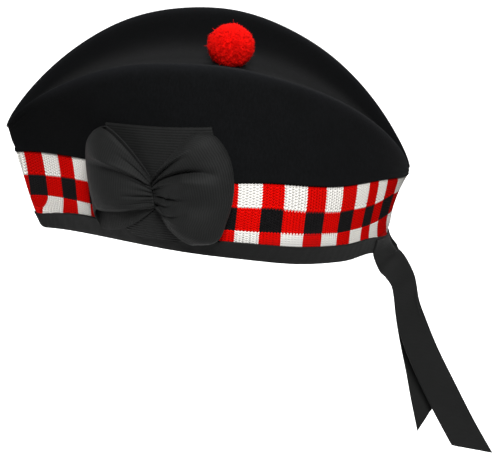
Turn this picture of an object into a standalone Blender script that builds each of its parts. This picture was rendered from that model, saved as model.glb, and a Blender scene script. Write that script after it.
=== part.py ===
# Glengarry cap: a felt crown folded into two ridges, a knitted diced band, a ribbon binding round
# the rim, a ribbed cockade with a two-loop bow on the wearer's left, a wool toorie, and two tails.
# Metres, +Z up. The front seam is at -X, the back seam at +X and the wearer's left side at -Y.
# The origin lies in the head opening: on the seam plane, midway between the ridges' two tips, and level
# with the rim's front end.

import math
from collections import namedtuple

import bmesh
import bpy
import numpy as np
from mathutils import Vector

# Overall sizes of the cap
CAP_LENGTH = 0.233
CAP_WIDTH = 0.160
CAP_HEIGHT = 0.121
VALLEY_DEPTH = 0.015

# Cloths and ribbons
FELT = 0.002
KNIT = 0.002
RIBBON = 0.001
RIBBON_WIDTH = 0.019
GAP = 0.0003

# Rim binding: how much of the folded ribbon shows above the rim
BINDING_HEIGHT = 0.0097

# Cockade and bow, measured along the side of the cap from the gather of the bow
GATHER_ARC = 0.105
GATHER_HEIGHT = 0.049
COCKADE_WIDTH = 0.097
COCKADE_HEIGHT = 0.066
COCKADE_TILT = math.radians(8.5)
LOOP_DEPTH = 0.006
LOOP_PUFF = 0.006
CREASE_DEPTH = 0.0012
CREASES = 4

# Toorie: a wool ball that sits in the valley between the ridges
TOORIE_WIDTH = 0.031
TOORIE_HEIGHT = 0.027
TOORIE_BACK = 0.008
TOORIE_SINK = 0.003
LOCK_DEPTH = 0.0022

# Tails: from the rim down to the middle of the ribbons' ends, back from the rim, and to either side
TAIL_DROP = 0.116
TAIL_TRAIL = 0.064
TAIL_SPREAD = 0.012

# Fineness of the meshes
COLUMNS = 40
DENSE = 720
RAYS = 17
PANEL_COLUMNS = 12
PANEL_ROWS = 10
SIDE_ROWS = 100
TAIL_ACROSS = 5
LOCKS = 60

# The cap's shape as level curves from the rim up to the ridge. front and back are shares of half the
# length, belly shifts the widest place backwards by a share of the same, and width is a share of half
# the width. low_front, low_back and high are shares of the height at the seams and at mid side. The
# pinches and the arch are powers of the sine along the side, and lid is the share of the wall that
# comes off the height of the inner skin. lean moves the arch's top forwards, in radians, and shoulder
# is a swell of the front half as a share of the height, fullest about 60 degrees from the front seam.
# sag is a wave of the back half, as a share of the height.
Level = namedtuple(
    "Level",
    "front back belly width low_front low_back high pinch_front pinch_back arch lid lean shoulder sag",
)
RIM = Level(0.805, 0.915, 0.15, 0.93, 0.000, 0.014, 0.136, 3.2, 1.6, 2.3, 0.0, 0.06, 0.0, 0.0)
BULGE = Level(0.865, 0.930, 0.15, 1.00, 0.135, 0.156, 0.274, 3.2, 1.6, 2.1, 0.0, 0.04, 0.0, 0.0)
BAND_TOP = Level(0.945, 0.993, 0.15, 0.985, 0.355, 0.390, 0.500, 3.2, 1.6, 1.75, 0.0, 0.02, 0.0, 0.024)
SIDE = Level(0.970, 0.998, 0.10, 0.91, 0.410, 0.405, 0.730, 2.8, 1.6, 1.65, 0.2, 0.02, 0.004, 0.016)
UNDER_RIDGE = Level(0.990, 1.000, 0.04, 0.81, 0.465, 0.420, 0.950, 1.9, 1.8, 1.55, 0.8, 0.0, 0.010, 0.0)
RIDGE = Level(1.000, 1.000, 0.01, 0.74, 0.480, 0.430, 1.000, 1.6, 2.0, 1.5, 1.0, 0.0, 0.013, 0.0)
LEVELS = (RIM, BULGE, BAND_TOP, SIDE, UNDER_RIDGE, RIDGE)

# How round each level curve's nose is at the seams, as a share of its width
NOSE = 0.10
# This makes the shoulder's form 1 where it is fullest
SHOULDER_FORM = 9.5
# Where the sag is lowest, in radians from the front seam
LOWEST_SAG = 2.15

# How far the band draws in under the crown at the back seam, and the power of the share along the
# side that it follows
WAIST = 0.002
WAIST_REACH = 12

# From the ridge into the valley: the share of the ridge's half width and of the valley's depth
Dip = namedtuple("Dip", "width depth")
DIPS = (Dip(0.88, 0.26), Dip(0.60, 0.86), Dip(0.0, 1.0))
VALLEY_ONSET = 0.8

# Places along the levels: 0 at the rim, then one for each level and each dip
AT_BULGE = 1
AT_BAND_TOP = 2
AT_RIDGE = 5
AT_BINDING_TOP = BINDING_HEIGHT / (CAP_HEIGHT * BULGE.low_front)


def plan_point(level, angle):
    """Length and half width of a level curve at an angle from the front seam."""
    middle = (level.front + level.back) / 2
    shift = (level.back - level.front) / 2
    cosine = np.cos(angle)
    sine = np.sin(angle)
    size = np.abs(sine)
    backward = (1 - cosine) / 2
    pinch = level.pinch_front + (level.pinch_back - level.pinch_front) * backward
    along = -middle * cosine + shift * cosine**2 + level.belly * sine**2
    half = level.width * ((1 - NOSE) * size**pinch + NOSE * size) * np.sign(sine)
    return CAP_LENGTH / 2 * along, CAP_WIDTH / 2 * half


def level_height(level, angle):
    backward = (1 - np.cos(angle)) / 2
    low = level.low_front + (level.low_back - level.low_front) * backward
    rise = level.high - (level.low_front + level.low_back) / 2
    arch = np.abs(np.sin(angle + level.lean * np.sin(angle))) ** level.arch
    shoulder = SHOULDER_FORM * np.sin(angle) ** 6 * np.maximum(np.cos(angle), 0) ** 2
    behind = np.sqrt(np.maximum(-np.cos(angle), 0))
    sag = np.sin(angle) ** 2 * behind * np.cos(6 * (angle - LOWEST_SAG))
    return CAP_HEIGHT * (low + rise * arch + level.shoulder * shoulder - level.sag * sag)


def seam_angle(y, angles):
    """Where a curve moved inwards comes back to the seam plane, going on from its end."""
    behind = np.nonzero(y < 0)[0]
    if len(behind) == 0:
        return angles[0]
    last = behind[-1]
    part = y[last] / (y[last] - y[last + 1])
    return angles[last] + part * (angles[last + 1] - angles[last])


def level_curve(level, shares, inset):
    """Points of a level from the front seam (share 0) to the back seam (share 1), and their angles.

    A positive inset moves the curve inwards by that much, and its ends stay on the seam plane.
    """
    step = 1e-5
    angles = np.linspace(0, math.pi, DENSE + 1)
    x, y = plan_point(level, angles)
    ahead = plan_point(level, angles + step)
    behind = plan_point(level, angles - step)
    run = ahead[0] - behind[0]
    swell = ahead[1] - behind[1]
    length = np.hypot(run, swell)
    x = x + inset * swell / length
    y = y - inset * run / length
    half = DENSE // 2
    first = seam_angle(y[:half], angles[:half])
    last = seam_angle(y[:half:-1], angles[:half:-1])
    at = first + (last - first) * shares
    y = np.interp(at, angles, y) * (shares > 0) * (shares < 1)
    return np.interp(at, angles, x), y, level_height(level, at), at


def between(rows, place):
    """A smooth curve through rows of points: place 0 is the first row, 1 the next."""
    index = min(int(place), len(rows) - 2)
    part = place - index
    here = rows[index]
    after = rows[index + 1]
    before = rows[index - 1] if index > 0 else 2 * here - after
    beyond = rows[index + 2] if index + 2 < len(rows) else 2 * after - here
    bend = 2 * before - 5 * here + 4 * after - beyond
    twist = 3 * here - before - 3 * after + beyond
    return 0.5 * (2 * here + (after - before) * part + bend * part**2 + twist * part**3)


def cap_skin(shares, place, inset=0.0):
    """Points of the cap at these shares along the side, as rows of x, half width and z.

    The place runs from the rim over the levels and the dips, and inset 0 is the outside. Near the
    seams the inner skin runs under the valley, because the ridges are solid there.
    """
    wall = max(inset, 0.0)
    solid = 1 - np.sin(math.pi * shares) ** 0.5 if wall > 0 else 0 * shares
    sides = []
    for level in LEVELS:
        x, y, z, angle = level_curve(level, shares, inset)
        hollow = VALLEY_DEPTH * np.sin(angle) ** VALLEY_ONSET
        z = z - level.lid * (wall + hollow * solid)
        sides.append(np.stack([x, y, z], axis=-1))
    for dip in DIPS:
        down = hollow * (1 - solid) * dip.depth
        sides.append(sides[AT_RIDGE] * (1, dip.width, 1) - np.outer(down, (0, 0, 1)))
    points = between(sides, place)
    waist = math.sin(math.pi * min(max(place - AT_BULGE, 0), 1))
    points[:, 0] -= WAIST * waist * shares**WAIST_REACH
    if place > AT_RIDGE:
        tips = (shares == 0) | (shares == 1)
        points[tips] = sides[AT_RIDGE][tips]
    return points


def walk(curve, distances):
    """Points at these distances along a row of points."""
    steps = np.linalg.norm(np.diff(curve, axis=0), axis=1)
    lengths = np.concatenate([[0.0], np.cumsum(steps)])
    return np.stack([np.interp(distances, lengths, curve[:, axis]) for axis in range(3)], axis=-1)


def new_object(name, mesh_build, colour, roughness, collection):
    """Turn a bmesh into a named object with its own material."""
    mesh = bpy.data.meshes.new(name)
    bmesh.ops.recalc_face_normals(mesh_build, faces=mesh_build.faces)
    mesh_build.to_mesh(mesh)
    mesh_build.free()
    mesh.shade_smooth()
    item = bpy.data.objects.new(name, mesh)
    material = bpy.data.materials.new(name)
    material.use_nodes = True
    shader = material.node_tree.nodes["Principled BSDF"]
    shader.inputs["Base Color"].default_value = (*colour, 1)
    shader.inputs["Roughness"].default_value = roughness
    mesh.materials.append(material)
    collection.objects.link(item)
    return item


def grid_of(rows):
    """A bmesh grid with one line of vertices for each row of points."""
    build = bmesh.new()
    across = len(rows[0])
    bmesh.ops.create_grid(build, x_segments=across - 1, y_segments=len(rows) - 1, size=0.5)
    for vertex, point in zip(build.verts, (point for row in rows for point in row)):
        vertex.co = Vector(point)
    return build


def close_round(build, rows):
    """Join the last row of a grid to its first one, so that the section is a closed ring."""
    build.edges.ensure_lookup_table()
    build.verts.ensure_lookup_table()
    across = len(rows[0])
    first = set(build.verts[:across])
    last = set(build.verts[-across:])
    ring = [edge for edge in build.edges if set(edge.verts) <= first or set(edge.verts) <= last]
    bmesh.ops.bridge_loops(build, edges=ring)


def mirror_far_side(item):
    """Add the far half: the near half is open on the plane through both seams."""
    mirror = item.modifiers.new("far side", "MIRROR")
    mirror.use_axis = (False, True, False)
    mirror.merge_threshold = 0.00001


def sheet_of(item, thickness):
    solid = item.modifiers.new("cloth", "SOLIDIFY")
    solid.thickness = thickness
    solid.offset = 0.0


def near_side(points):
    """Cap points on the wearer's left, where the half width counts towards -Y."""
    return points * (1, -1, 1)


for leftover in list(bpy.data.objects):
    bpy.data.objects.remove(leftover, do_unlink=True)
cap = bpy.data.collections.new("glengarry_cap")
bpy.context.scene.collection.children.link(cap)
SHARES = np.linspace(0, 1, COLUMNS + 1)


# Crown: felt, from the valley over the ridge down to the band, and back up inside
OUTER_PLACES = (8, 7.5, 7, 6.5, 6, 5.5, 5.25, 5, 4.75, 4.4, 4, 3.5, 3, 2.5, 2)
INNER_PLACES = (2, 2.5, 3, 3.5, 4, 4.5, 5, 5.5, 6, 7, 8)


def crown_row(place, inset):
    row = cap_skin(SHARES, place, inset)
    if place == AT_BAND_TOP:
        row = row + (0, 0, GAP)
    return near_side(row)


crown_rows = [crown_row(place, 0.0) for place in OUTER_PLACES]
crown_rows += [crown_row(place, FELT) for place in INNER_PLACES]
crown_mesh = grid_of(crown_rows)
bmesh.ops.remove_doubles(crown_mesh, verts=crown_mesh.verts, dist=1e-6)
crown = new_object("crown", crown_mesh, (0.010, 0.010, 0.012), 0.95, cap)
mirror_far_side(crown)


# Diced band: a knitted strip from the rim up to the crown
BAND_OUTER = (0, AT_BINDING_TOP / 2, AT_BINDING_TOP, 1, 1.5, AT_BAND_TOP)
BAND_INNER = (AT_BAND_TOP, 1, AT_BINDING_TOP, 0)
band_rows = [near_side(cap_skin(SHARES, place)) for place in BAND_OUTER]
band_rows += [near_side(cap_skin(SHARES, place, KNIT)) for place in BAND_INNER]
band_mesh = grid_of(band_rows)
close_round(band_mesh, band_rows)
band = new_object("diced_band", band_mesh, (0.72, 0.03, 0.02), 0.9, cap)
mirror_far_side(band)


# Rim binding: ribbon folded over the band's lower edge, as a channel that is open upwards.
# Each step gives the inset from the band's outside, the place, and the drop below the rim.
Step = namedtuple("Step", "inset place drop")
OUTSIDE = -(GAP + RIBBON)
INSIDE = KNIT + GAP + RIBBON
ROUND = (GAP + RIBBON) / 2
BINDING_STEPS = (
    Step(OUTSIDE, AT_BINDING_TOP, 0),
    Step(OUTSIDE, AT_BINDING_TOP / 2, 0),
    Step(OUTSIDE, 0, GAP),
    Step(OUTSIDE + ROUND, 0, GAP + RIBBON),
    Step(INSIDE - ROUND, 0, GAP + RIBBON),
    Step(INSIDE, 0, GAP),
    Step(INSIDE, AT_BINDING_TOP, 0),
    Step(INSIDE - RIBBON, AT_BINDING_TOP, 0),
    Step(INSIDE - RIBBON, 0, GAP),
    Step(-GAP, 0, GAP),
    Step(-GAP, AT_BINDING_TOP / 2, 0),
    Step(-GAP, AT_BINDING_TOP, 0),
)


def binding_row(step):
    return near_side(cap_skin(SHARES, step.place, step.inset) - (0, 0, step.drop))


binding_rows = [binding_row(step) for step in BINDING_STEPS]
binding_mesh = grid_of(binding_rows)
close_round(binding_mesh, binding_rows)
binding = new_object("rim_binding", binding_mesh, (0.020, 0.020, 0.022), 0.6, cap)
mirror_far_side(binding)


# The near side of the cap as a fine grid, on which the cockade is laid out
SIDE_PLACES = np.linspace(0, AT_RIDGE, SIDE_ROWS + 1)
DENSE_SHARES = np.linspace(0, 1, DENSE + 1)
SIDE_GRID = np.array([cap_skin(DENSE_SHARES, place) for place in SIDE_PLACES])
GATHER_PLACE = 1.7
LIFT_START = AT_BINDING_TOP + 0.75
LIFT_END = AT_BINDING_TOP + 0.35


def on_side(along, up):
    """The place on the near side at this distance back from the gather and height above it."""
    line = cap_skin(DENSE_SHARES, GATHER_PLACE)
    here = walk(line, GATHER_ARC + along)
    share = np.interp(here[0], line[:, 0], DENSE_SHARES) * DENSE
    index = min(int(share), DENSE - 1)
    part = share - index
    column = SIDE_GRID[:, index] * (1 - part) + SIDE_GRID[:, index + 1] * part
    z = GATHER_HEIGHT + up
    x = np.interp(z, column[:, 2], column[:, 0])
    y = np.interp(z, column[:, 2], column[:, 1])
    place = np.interp(z, column[:, 2], SIDE_PLACES)
    return Vector((x, -y, z)), place


def cockade_point(out, up, height):
    """A point over the side of the cap, in the cockade's own tilted axes and clear of the binding."""
    along = out * math.cos(COCKADE_TILT) - up * math.sin(COCKADE_TILT)
    rise = out * math.sin(COCKADE_TILT) + up * math.cos(COCKADE_TILT)
    base, place = on_side(along, rise)
    reach = COCKADE_HEIGHT / 20
    back = on_side(along + reach, rise)[0] - on_side(along - reach, rise)[0]
    upward = on_side(along, rise + reach)[0] - on_side(along, rise - reach)[0]
    share = min(max((LIFT_START - place) / (LIFT_START - LIFT_END), 0), 1)
    lift = (GAP + RIBBON) * share**2 * (3 - 2 * share)
    return base + back.cross(upward).normalized() * (GAP + lift + height)


# Cockade panel: a flat ribbed ribbon against the side of the cap, behind the bow. Its rows run from
# the foot to the top: up is a share of half the cockade's height, left and right of half its width.
Panel = namedtuple("Panel", "up left right")
PANEL_OUTLINE = (
    Panel(-0.88, -0.30, 0.20),
    Panel(-0.80, -0.50, 0.42),
    Panel(-0.66, -0.58, 0.60),
    Panel(0.00, -0.60, 0.82),
    Panel(1.05, -0.56, 0.90),
)


def panel_row(part):
    ends = [np.array(row) for row in PANEL_OUTLINE]
    row = Panel(*between(ends, part * (len(ends) - 1)))
    outs = COCKADE_WIDTH / 2 * np.linspace(row.left, row.right, PANEL_COLUMNS + 1)
    return [cockade_point(out, COCKADE_HEIGHT / 2 * row.up, RIBBON / 2) for out in outs]


panel_rows = [panel_row(part) for part in np.linspace(0, 1, PANEL_ROWS + 1)]
panel = new_object("cockade_panel", grid_of(panel_rows), (0.018, 0.018, 0.020), 0.6, cap)
sheet_of(panel, RIBBON)


# Bow loops: ribbon that fans out from the gather, folds over at its outer edge and comes back
# underneath. A ray runs from the gather to the outer edge: out and back_out are shares of half the
# cockade's width for the front and the back layer, up and back_up of half its height, bend and
# back_bend bow the ray by shares of the same, and swell is its share of the puff.
Ray = namedtuple("Ray", "out up back_out back_up bend back_bend swell")
FRONT_RAYS = (
    Ray(0.50, 1.04, 0.50, 1.00, 0.27, 0.14, 0.4),
    Ray(0.64, 0.95, 0.64, 0.92, 0.20, 0.10, 0.8),
    Ray(0.79, 0.76, 0.79, 0.72, 0.12, 0.06, 1.0),
    Ray(0.88, 0.48, 0.89, 0.40, 0.06, 0.03, 0.7),
    Ray(0.93, 0.16, 0.96, 0.02, 0.02, 0.00, 0.9),
    Ray(0.95, -0.08, 0.99, -0.34, 0.00, -0.05, 1.0),
    Ray(0.95, -0.24, 1.01, -0.55, -0.01, -0.09, 0.9),
    Ray(0.94, -0.33, 1.03, -0.70, -0.02, -0.13, 0.7),
    Ray(0.92, -0.40, 1.05, -0.80, -0.02, -0.16, 0.4),
)
BACK_RAYS = (
    Ray(0.66, 0.95, 0.65, 0.93, 0.00, 0.00, 0.3),
    Ray(0.80, 0.98, 0.79, 0.95, 0.03, 0.02, 0.8),
    Ray(0.93, 0.90, 0.92, 0.88, 0.05, 0.04, 1.0),
    Ray(1.00, 0.60, 0.99, 0.58, 0.04, 0.03, 0.8),
    Ray(0.98, 0.20, 0.98, 0.20, 0.00, 0.00, 1.0),
    Ray(0.93, -0.15, 0.93, -0.15, -0.02, -0.02, 0.7),
    Ray(0.86, -0.45, 0.86, -0.45, -0.03, -0.03, 1.0),
    Ray(0.75, -0.74, 0.75, -0.74, -0.04, -0.04, 0.8),
    Ray(0.50, -0.79, 0.50, -0.79, -0.04, -0.04, 0.3),
)
GATHER_TOP = 0.18
GATHER_BOTTOM = -0.28

# Along a ray and back: reach is a share of it, lift a share of the loop's depth, puff a share of the
# puff, and layer is 1 in front and 0 behind
Turn = namedtuple("Turn", "reach lift puff layer")
LOOP_TURNS = (
    Turn(0.00, 0.28, 0.00, 1.0),
    Turn(0.10, 0.40, 0.25, 1.0),
    Turn(0.25, 0.60, 0.65, 1.0),
    Turn(0.45, 0.80, 1.00, 1.0),
    Turn(0.65, 0.92, 0.95, 1.0),
    Turn(0.82, 1.00, 0.60, 1.0),
    Turn(0.93, 0.96, 0.20, 1.0),
    Turn(0.985, 0.76, 0.05, 0.8),
    Turn(1.00, 0.45, 0.00, 0.5),
    Turn(0.985, 0.14, 0.00, 0.2),
    Turn(0.93, 0.00, 0.00, 0.0),
    Turn(0.76, 0.04, 0.00, 0.0),
    Turn(0.58, 0.05, 0.00, 0.0),
    Turn(0.40, 0.05, 0.00, 0.0),
    Turn(0.22, 0.04, 0.00, 0.0),
    Turn(0.04, 0.00, 0.00, 0.0),
)


def loop_point(rays, side, share, turn):
    """A point on the middle of a loop's ribbon, side -1 towards the front seam and 1 to the back."""
    ray = Ray(*between([np.array(row) for row in rays], share * (len(rays) - 1)))
    gather = GATHER_TOP + (GATHER_BOTTOM - GATHER_TOP) * share
    up = ray.back_up + (ray.up - ray.back_up) * turn.layer
    width = ray.back_out + (ray.out - ray.back_out) * turn.layer
    bend = ray.back_bend + (ray.bend - ray.back_bend) * turn.layer
    bow = bend * 4 * turn.reach * (1 - turn.reach)
    out = GAP + (width * COCKADE_WIDTH / 2 - GAP) * turn.reach
    rise = COCKADE_HEIGHT / 2 * (gather + (up - gather) * turn.reach + bow)
    crease = CREASE_DEPTH * (1 - turn.reach) * (1 - math.cos(2 * math.pi * CREASES * share)) / 2
    height = LOOP_DEPTH * turn.lift + LOOP_PUFF * turn.puff * ray.swell + crease * turn.layer
    return cockade_point(side * out, rise, RIBBON + GAP + RIBBON / 2 + height)


def bow_loop(name, rays, side):
    shares = np.linspace(0, 1, RAYS)
    rows = [[loop_point(rays, side, share, turn) for share in shares] for turn in LOOP_TURNS]
    loop = new_object(name, grid_of(rows), (0.022, 0.022, 0.024), 0.6, cap)
    sheet_of(loop, RIBBON)
    return loop


bow_front = bow_loop("bow_front", FRONT_RAYS, -1)
bow_back = bow_loop("bow_back", BACK_RAYS, 1)


# Toorie: locks of wool over a ball, flattened where it sits in the valley
VALLEY_ROWS = crown_rows[: OUTER_PLACES.index(AT_RIDGE) + 1]


def valley_height(x, y):
    widths = [np.interp(x, row[:, 0], -row[:, 1]) for row in VALLEY_ROWS]
    heights = [np.interp(x, row[:, 0], row[:, 2]) for row in VALLEY_ROWS]
    return np.interp(abs(y), widths, heights)


def lock_directions(count):
    """Evenly spread directions on a spiral from pole to pole."""
    turn = math.pi * (3 - math.sqrt(5))
    for number in range(count):
        z = 1 - (2 * number + 1) / count
        ring = math.sqrt(1 - z * z)
        yield Vector((ring * math.cos(turn * number), ring * math.sin(turn * number), z))


toorie_mesh = bmesh.new()
bmesh.ops.create_icosphere(toorie_mesh, subdivisions=4, radius=1)
locks = list(lock_directions(LOCKS))
lock_reach = math.sqrt(4 / LOCKS)
toorie_middle = valley_height(TOORIE_BACK, 0) + TOORIE_HEIGHT / 2 - TOORIE_SINK
for vertex in toorie_mesh.verts:
    nearest = min(vertex.co.normalized().angle(lock) for lock in locks)
    depth = LOCK_DEPTH * min(nearest / lock_reach, 1) ** 2
    x = vertex.co.x * (TOORIE_WIDTH / 2 - depth) + TOORIE_BACK
    y = vertex.co.y * (TOORIE_WIDTH / 2 - depth)
    z = vertex.co.z * (TOORIE_HEIGHT / 2 - depth) + toorie_middle
    vertex.co = (x, y, max(z, valley_height(x, y) + GAP))
toorie = new_object("toorie", toorie_mesh, (0.78, 0.02, 0.02), 0.9, cap)


# Tails: the ends of the binding's ribbon, sewn against the binding at the back seam. They hang clear
# of it by these rows: down is a share of the drop, back of the trail, aside of the spread, and turn
# is how far the ribbon's face turns from the side towards the back, in degrees.
Hang = namedtuple("Hang", "down back aside turn")
NEAR_HANGS = (
    Hang(0.06, 0.10, -0.90, 22),
    Hang(0.12, 0.18, -0.95, 28),
    Hang(0.23, 0.24, -1.00, 44),
    Hang(0.38, 0.32, -1.00, 36),
    Hang(0.54, 0.46, -1.00, 20),
    Hang(0.73, 0.64, -1.00, 10),
    Hang(0.90, 0.83, -1.00, 6),
    Hang(1.00, 0.95, -1.00, 4),
)
FAR_HANGS = (
    Hang(0.06, 0.07, 0.75, -30),
    Hang(0.12, 0.15, 0.50, -26),
    Hang(0.20, 0.22, 0.40, -32),
    Hang(0.33, 0.28, 0.35, -36),
    Hang(0.48, 0.37, 0.30, -22),
    Hang(0.62, 0.44, 0.25, -12),
    Hang(0.74, 0.51, 0.20, -8),
    Hang(0.85, 0.575, 0.20, -6),
)
ACROSS = np.linspace(0, 1, TAIL_ACROSS)

# Rows of a tail against the binding, and the last one just clear of its fold. flare is the share of
# the ribbon's width by which its seam edge stands away backwards.
Sewn = namedtuple("Sewn", "place drop flare")
SEWN = (
    Sewn(AT_BINDING_TOP, 0, 0.0),
    Sewn(AT_BINDING_TOP / 2, 0, 0.12),
    Sewn(0, 0, 0.32),
    Sewn(0, 2 * (GAP + RIBBON), 0.42),
)


def tail_rows(hangs, side, slant):
    """Rows across a tail from its seam edge, with the last row cut at a slant."""
    rows = []
    for row in SEWN:
        line = cap_skin(DENSE_SHARES, row.place, OUTSIDE - GAP - RIBBON / 2)[::-1]
        sewn = walk(line, RIBBON + ACROSS * RIBBON_WIDTH) * (1, side, 1)
        flare = np.outer(row.flare * RIBBON_WIDTH * (1 - ACROSS), (1, 0, 0))
        rows.append(sewn + flare - (0, 0, row.drop))
    start = CAP_LENGTH / 2 * RIM.back
    middles = [
        Vector((start + hang.back * TAIL_TRAIL, hang.aside * TAIL_SPREAD, -hang.down * TAIL_DROP))
        for hang in hangs
    ]
    for number, hang in enumerate(hangs):
        above = middles[max(number - 1, 0)]
        below = middles[min(number + 1, len(hangs) - 1)]
        course = (below - above).normalized()
        turn = math.radians(hang.turn)
        across = Vector((math.cos(turn), math.sin(turn), 0))
        across = (across - course * across.dot(course)).normalized()
        cut = course * slant if number == len(hangs) - 1 else Vector()
        row = [
            middles[number] + (across * RIBBON_WIDTH + cut) * (0.5 - share) for share in ACROSS
        ]
        rows.append(np.array(row))
    places = np.arange(2 * len(rows) - 1) / 2
    return [between(rows, place) for place in places]


def tail(name, hangs, side, slant):
    item = new_object(name, grid_of(tail_rows(hangs, side, slant)), (0.020, 0.020, 0.022), 0.6, cap)
    sheet_of(item, RIBBON)
    return item


NEAR_SLANT = 0.015
FAR_SLANT = -0.024
tail_near = tail("tail_near", NEAR_HANGS, -1, NEAR_SLANT)
tail_far = tail("tail_far", FAR_HANGS, 1, FAR_SLANT)
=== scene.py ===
# Glengarry cap, dressed: felt crown, knitted diced band, ribbon binding, cockade and bow, wool toorie
# and ribbon tails. Metres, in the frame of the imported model. The front seam is at -X and the wearer's
# left side, with the cockade, at -Y.

import math
from collections import namedtuple

import bmesh
import bpy
import numpy as np
from mathutils import Matrix, Vector, noise


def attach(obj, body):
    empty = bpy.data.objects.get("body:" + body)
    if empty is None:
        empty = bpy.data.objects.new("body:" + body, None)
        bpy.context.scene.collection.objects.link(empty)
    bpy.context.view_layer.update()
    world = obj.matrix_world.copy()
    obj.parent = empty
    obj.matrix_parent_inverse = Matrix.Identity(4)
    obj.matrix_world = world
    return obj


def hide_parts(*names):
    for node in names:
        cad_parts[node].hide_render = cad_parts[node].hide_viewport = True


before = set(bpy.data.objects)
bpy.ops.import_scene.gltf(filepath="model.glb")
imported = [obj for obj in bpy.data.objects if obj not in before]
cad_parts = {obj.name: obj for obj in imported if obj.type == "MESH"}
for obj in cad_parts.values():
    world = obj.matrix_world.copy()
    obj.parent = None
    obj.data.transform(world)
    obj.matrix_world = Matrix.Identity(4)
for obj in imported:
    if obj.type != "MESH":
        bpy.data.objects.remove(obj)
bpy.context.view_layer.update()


# The view: from the wearer's left and a little above, with the back of the cap lower in the picture.
# The camera comes first, so that the pieces can be judged against the photo while they are made.
PICTURE_WIDTH = 492
PICTURE_HEIGHT = 456
LOOK_DOWN = math.radians(18.0)
ROLL = math.radians(4.3)
DISTANCE = 1.8
AIM_HEIGHT = 0.06
# The focal length, and the point of the picture that the camera looks straight at, in pixels
FOCAL = 3130
EYE_LINE = Vector((209, 138))


def add_to_scene(name, data):
    item = bpy.data.objects.new(name, data)
    bpy.context.scene.collection.objects.link(item)
    return item


back = Vector((0, -math.cos(LOOK_DOWN), math.sin(LOOK_DOWN)))
level = Vector((1, 0, 0))
upright = back.cross(level)
picture_right = level * math.cos(ROLL) + upright * math.sin(ROLL)
picture_up = upright * math.cos(ROLL) - level * math.sin(ROLL)
eye = Vector((0, 0, AIM_HEIGHT)) + back * DISTANCE
aside = PICTURE_WIDTH / 2 - EYE_LINE.x
below = PICTURE_HEIGHT / 2 - EYE_LINE.y
towards = (picture_right * aside - picture_up * below - back * FOCAL).normalized()
camera_x = (picture_right - towards * picture_right.dot(towards)).normalized()
camera_y = camera_x.cross(towards)
camera = add_to_scene("camera", bpy.data.cameras.new("camera"))
camera.data.lens = FOCAL / PICTURE_WIDTH * camera.data.sensor_width
camera.matrix_world = Matrix.Translation(eye) @ Matrix((camera_x, camera_y, -towards)).transposed().to_4x4()
bpy.context.scene.camera = camera


# Crown: one piece of black milled felt, blocked over two ridges with a valley between them. It is
# seamed at the front and the back, and its lower edge is turned in and sewn over the knitted band.
CAP_LENGTH = 0.233
CAP_WIDTH = 0.160
CAP_HEIGHT = 0.121
VALLEY_DEPTH = 0.015
FELT = 0.002
# How far apart two pieces lie that are sewn together
GAP = 0.0003
# How many steps each level curve is worked out in
DENSE = 720
# How round each level curve's nose is at the seams, as a share of its width
NOSE = 0.10
# This makes the form of the front shoulder 1 where it is fullest
SHOULDER_FORM = 9.5
# Where the wave of the crown's lower edge is lowest, in radians from the front seam
LOWEST_SAG = 2.15
# How far the band draws in under the crown at the back seam, and the power of the share along the
# side that it follows
WAIST = 0.002
WAIST_REACH = 12
# The power of the sine with which the valley deepens from the seams
VALLEY_ONSET = 0.8
# Places along the levels: 0 at the rim, then one for each level and each dip
AT_BULGE = 1
AT_BAND_TOP = 2
AT_RIDGE = 5
AT_VALLEY = 8

# The cap's shape as level curves from the rim up to the ridge. front and back are shares of half the
# length, belly shifts the widest place backwards by a share of the same, and width is a share of half
# the width. low_front, low_back and high are shares of the height at the seams and at mid side. The
# pinches and the arch are powers of the sine along the side, and lid is the share of the wall that
# comes off the height of the inner skin. lean moves the arch's top forwards, in radians, and shoulder
# is a swell of the front half as a share of the height. sag is a wave of the back half, likewise.
Level = namedtuple(
    "Level",
    "front back belly width low_front low_back high pinch_front pinch_back arch lid lean shoulder sag",
)
RIM = Level(0.805, 0.915, 0.15, 0.93, 0.000, 0.014, 0.136, 3.2, 1.6, 2.3, 0.0, 0.06, 0.0, 0.0)
BULGE = Level(0.865, 0.930, 0.15, 1.00, 0.135, 0.156, 0.274, 3.2, 1.6, 2.1, 0.0, 0.04, 0.0, 0.0)
BAND_TOP = Level(0.945, 0.993, 0.15, 0.985, 0.355, 0.390, 0.500, 3.2, 1.6, 1.75, 0.0, 0.02, 0.0, 0.024)
SIDE = Level(0.970, 0.998, 0.10, 0.91, 0.410, 0.405, 0.730, 2.8, 1.6, 1.65, 0.2, 0.02, 0.004, 0.016)
UNDER_RIDGE = Level(0.990, 1.000, 0.04, 0.81, 0.465, 0.420, 0.950, 1.9, 1.8, 1.55, 0.8, 0.0, 0.010, 0.0)
RIDGE = Level(1.000, 1.000, 0.01, 0.74, 0.480, 0.430, 1.000, 1.6, 2.0, 1.5, 1.0, 0.0, 0.013, 0.0)
LEVELS = (RIM, BULGE, BAND_TOP, SIDE, UNDER_RIDGE, RIDGE)
# From the ridge into the valley: the share of the ridge's half width and of the valley's depth
Dip = namedtuple("Dip", "width depth")
DIPS = (Dip(0.88, 0.26), Dip(0.60, 0.86), Dip(0.0, 1.0))


def plan_point(level, angle):
    """Length and half width of a level curve of the cap at an angle from the front seam."""
    middle = (level.front + level.back) / 2
    shift = (level.back - level.front) / 2
    cosine = np.cos(angle)
    sine = np.sin(angle)
    size = np.abs(sine)
    pinch = level.pinch_front + (level.pinch_back - level.pinch_front) * (1 - cosine) / 2
    along = -middle * cosine + shift * cosine**2 + level.belly * sine**2
    half = level.width * ((1 - NOSE) * size**pinch + NOSE * size) * np.sign(sine)
    return CAP_LENGTH / 2 * along, CAP_WIDTH / 2 * half


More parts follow.
